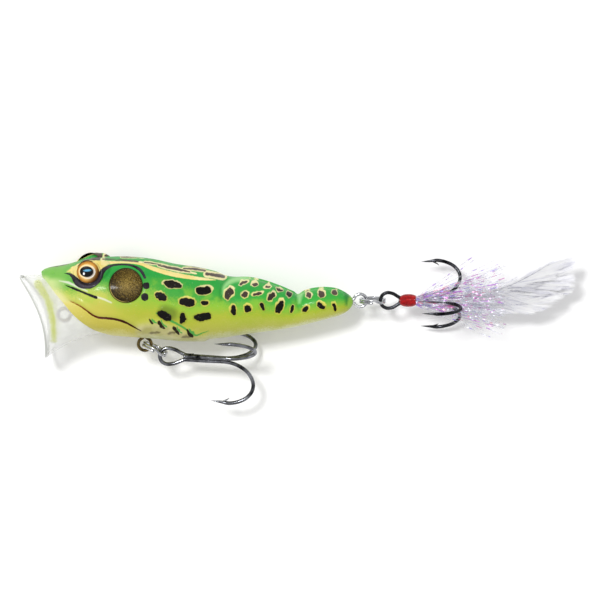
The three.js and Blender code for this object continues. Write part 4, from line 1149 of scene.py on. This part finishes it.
# the worn outline that all four feathers end at
FEATHER_TOP = ([18, 25.6, 33.5, 39.6, 42.3], [2.4, 3.3, 6.9, 10.1, 10.3])
FEATHER_LOW = ([18, 26, 32.4, 36, 39.2, 42.3], [-2.6, -3.1, -3.1, -1.5, 0.3, 1.4])
FEATHER_END = 42.2


def worn(root, direction, bend, length, ragged):
    """A barb's length, cut back until its tip is inside the worn outline."""
    for _ in range(20):
        x, y, _z = root + length * direction + bend
        if x < FEATHER_END + 0.5 * ragged:
            if np.interp(x, *FEATHER_LOW) + ragged < y < np.interp(x, *FEATHER_TOP) + ragged:
                return length
        length *= 0.92
    return length


def feather(spine, spread, level, lift, reach):
    """A quill with a downy base; its long barbs sweep forward past the quill's end."""
    per_side, steps, knots = 400, 10, 120
    quill = spline([(x, y, level * smooth(7, 11, x)) for x, y in spine], knots)
    stem = tube(quill, np.linspace(0.16, 0.04, knots), 8)
    stem[2]["hue"] = 0.0
    tangent = unit(np.gradient(quill, axis=0))
    t = np.linspace(0, 1, steps)
    lines, widths, hue = [], [], []
    for side in (1, -1):
        phase = rng.uniform(0, 6, 5)
        clump_at, clump = 0, np.zeros(3)
        for k in range(per_side):
            share = float(np.clip(0.34 + 0.66 * ((k + rng.uniform(0, 1)) / per_side) ** 0.8, 0.34, 0.999))
            if k >= clump_at:  # barbs lock together in small groups
                clump_at = k + rng.integers(4, 16)
                clump = rng.normal(0, 1, 3)
            at = share * (knots - 1)
            i = min(int(at), knots - 2)
            root = quill[i] + (at - i) * (quill[i + 1] - quill[i])
            forward = tangent[i]
            across = np.array([-forward[1], forward[0], 0]) * side
            down = smooth(0.7, 0.4, share)
            length = reach * (1 - 0.3 * down) * (1 + 0.06 * clump[0] + rng.normal(0, 0.03 + 0.14 * down))
            fan = 0.35 + 0.65 * (1 - smooth(0.9, 1.0, share) * rng.uniform(0.2, 1))
            sweep = math.radians(spread * fan + 2.2 * clump[1] + rng.normal(0, 1.2 + 11 * down) + 7 * down)
            direction = math.cos(sweep) * forward + math.sin(sweep) * across
            stray = rng.normal(0, 0.25 + 0.9 * down)
            bend = (forward * 0.5 + across * stray) * (0.4 + 0.3 * math.sin(share * 9 + phase[0]))
            length = worn(root, direction, bend, length, 0.3 * clump[0] + rng.normal(0, 0.25))
            line = root + length * t[:, None] * direction + (t**2)[:, None] * bend
            line[:, 2] += lift * length * t**2 + (0.1 * clump[2] + rng.normal(0, 0.04 + 0.6 * down)) * t
            line += rng.normal(0, 1, 3)[None] * (0.3 * down) * np.sin(t * 6 + phase[1])[:, None]
            lines.append(line)
            widths.append((0.14 - 0.085 * down) * (1 - 0.75 * t**2) + 0.015)
            hue.append(0.57 + 0.25 * clump[2] + rng.normal(0, 0.16))
    return [stem, ribbons(lines, widths, np.broadcast_to([0, 0, 1.0], (len(lines), steps, 3)), hue)]


def hackle_material():
    """White barbs that let half of the light through."""
    g = Graph("white_hackle")
    tone = g.plus(g.times(g.attribute("hue"), 0.6), g.times(g.noise(300, 3), 0.5))
    base = g.ramp(tone, [(0.1, "8f8f9c"), (0.3, "d4d4de"), (0.5, "f0f0f5"), (0.75, "ffffff")])
    g.set(Base_Color=base, Roughness=g.grain(900, 2, 0.2, 0.5), Sheen_Weight=0.25)
    g.bump(g.noise(4000, 2), 0.25, 0.00004)
    through = g.node("ShaderNodeBsdfTranslucent", [("Color", base)]).outputs[0]
    blend = g.node("ShaderNodeMixShader", [(0, 0.5), (1, g.shader.outputs[0]), (2, through)])
    g.put(g.tree.nodes["Material Output"].inputs["Surface"], blend.outputs[0])
    return g.material


hackle = hackle_material()
for label, facts in FEATHERS.items():
    dressing(f"hackle_{label}", feather(*facts), hackle, f"feather_{label}")

# ------------------------------------------------------------------ the CAD's hidden nodes
hidden_steel = metal("hidden_steel", "77797d", "c3c5c9", 0.3, 0.25)
for name in ("belly_ballast", "tail_ballast", "rattle_ball_front", "rattle_ball_middle", "rattle_ball_rear"):
    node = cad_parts[name]
    node.data.materials.clear()
    node.data.materials.append(hidden_steel)


# ------------------------------------------------------------------ floor, light and camera, in metres
def add_object(name, data):
    obj = bpy.data.objects.new(name, data)
    bpy.context.scene.collection.objects.link(obj)
    return obj


def pale_floor(half):
    mesh = bpy.data.meshes.new("floor")
    corners = [(-half, -half, 0), (half, -half, 0), (half, half, 0), (-half, half, 0)]
    mesh.from_pydata(corners, [], [(0, 1, 2, 3)])
    g = Graph("pale_floor")
    g.set(Base_Color=g.mottle(3, 2, [(0.3, "fbfbfb"), (0.7, "ffffff")]), Roughness=0.9)
    mesh.materials.append(g.material)
    add_object("floor", mesh)


def studio_sky():
    """White all round, and brighter overhead than at the horizon."""
    world = bpy.data.worlds.new("studio")
    world.use_nodes = True
    nodes, links = world.node_tree.nodes, world.node_tree.links
    height = nodes.new("ShaderNodeSeparateXYZ")
    glow = nodes.new("ShaderNodeMapRange")
    for key, value in (("From Min", 0.1), ("From Max", 1.0), ("To Min", 0.42), ("To Max", 0.86)):
        glow.inputs[key].default_value = value
    links.new(nodes.new("ShaderNodeTexCoord").outputs["Generated"], height.inputs[0])
    links.new(height.outputs["Z"], glow.inputs["Value"])
    links.new(glow.outputs["Result"], nodes["Background"].inputs["Strength"])
    nodes["Background"].inputs["Color"].default_value = (1, 1, 1, 1)
    bpy.context.scene.world = world


def key_light(location, size, power):
    data = bpy.data.lights.new("key", "AREA")
    data.shape = "DISK"
    data.size = size
    data.energy = power
    lamp = add_object("key", data)
    lamp.location = location
    lamp.rotation_euler = (-Vector(location)).to_track_quat("-Z", "Y").to_euler()


def side_camera(middle, distance, view_width):
    """Looks down on the left flank, from TILT towards the back."""
    data = bpy.data.cameras.new("camera")
    data.sensor_width = 36
    data.lens = data.sensor_width * distance / view_width
    data.clip_end = 20
    forward = Vector((0, -math.sin(TILT), -math.cos(TILT)))
    upward = Vector((0, math.cos(TILT), -math.sin(TILT)))
    camera = add_object("camera", data)
    camera.location = Vector(row(middle)) - distance * forward
    camera.rotation_euler = Matrix((forward.cross(upward), upward, -forward)).transposed().to_euler()
    bpy.context.scene.camera = camera


pale_floor(3)
studio_sky()
key_light((-0.4, 0.62, 1.5), 0.3, 15.0)
side_camera([58.05, 0.0, 0.0], 1.2, 0.135)
bpy.context.scene.view_settings.view_transform = "Standard"
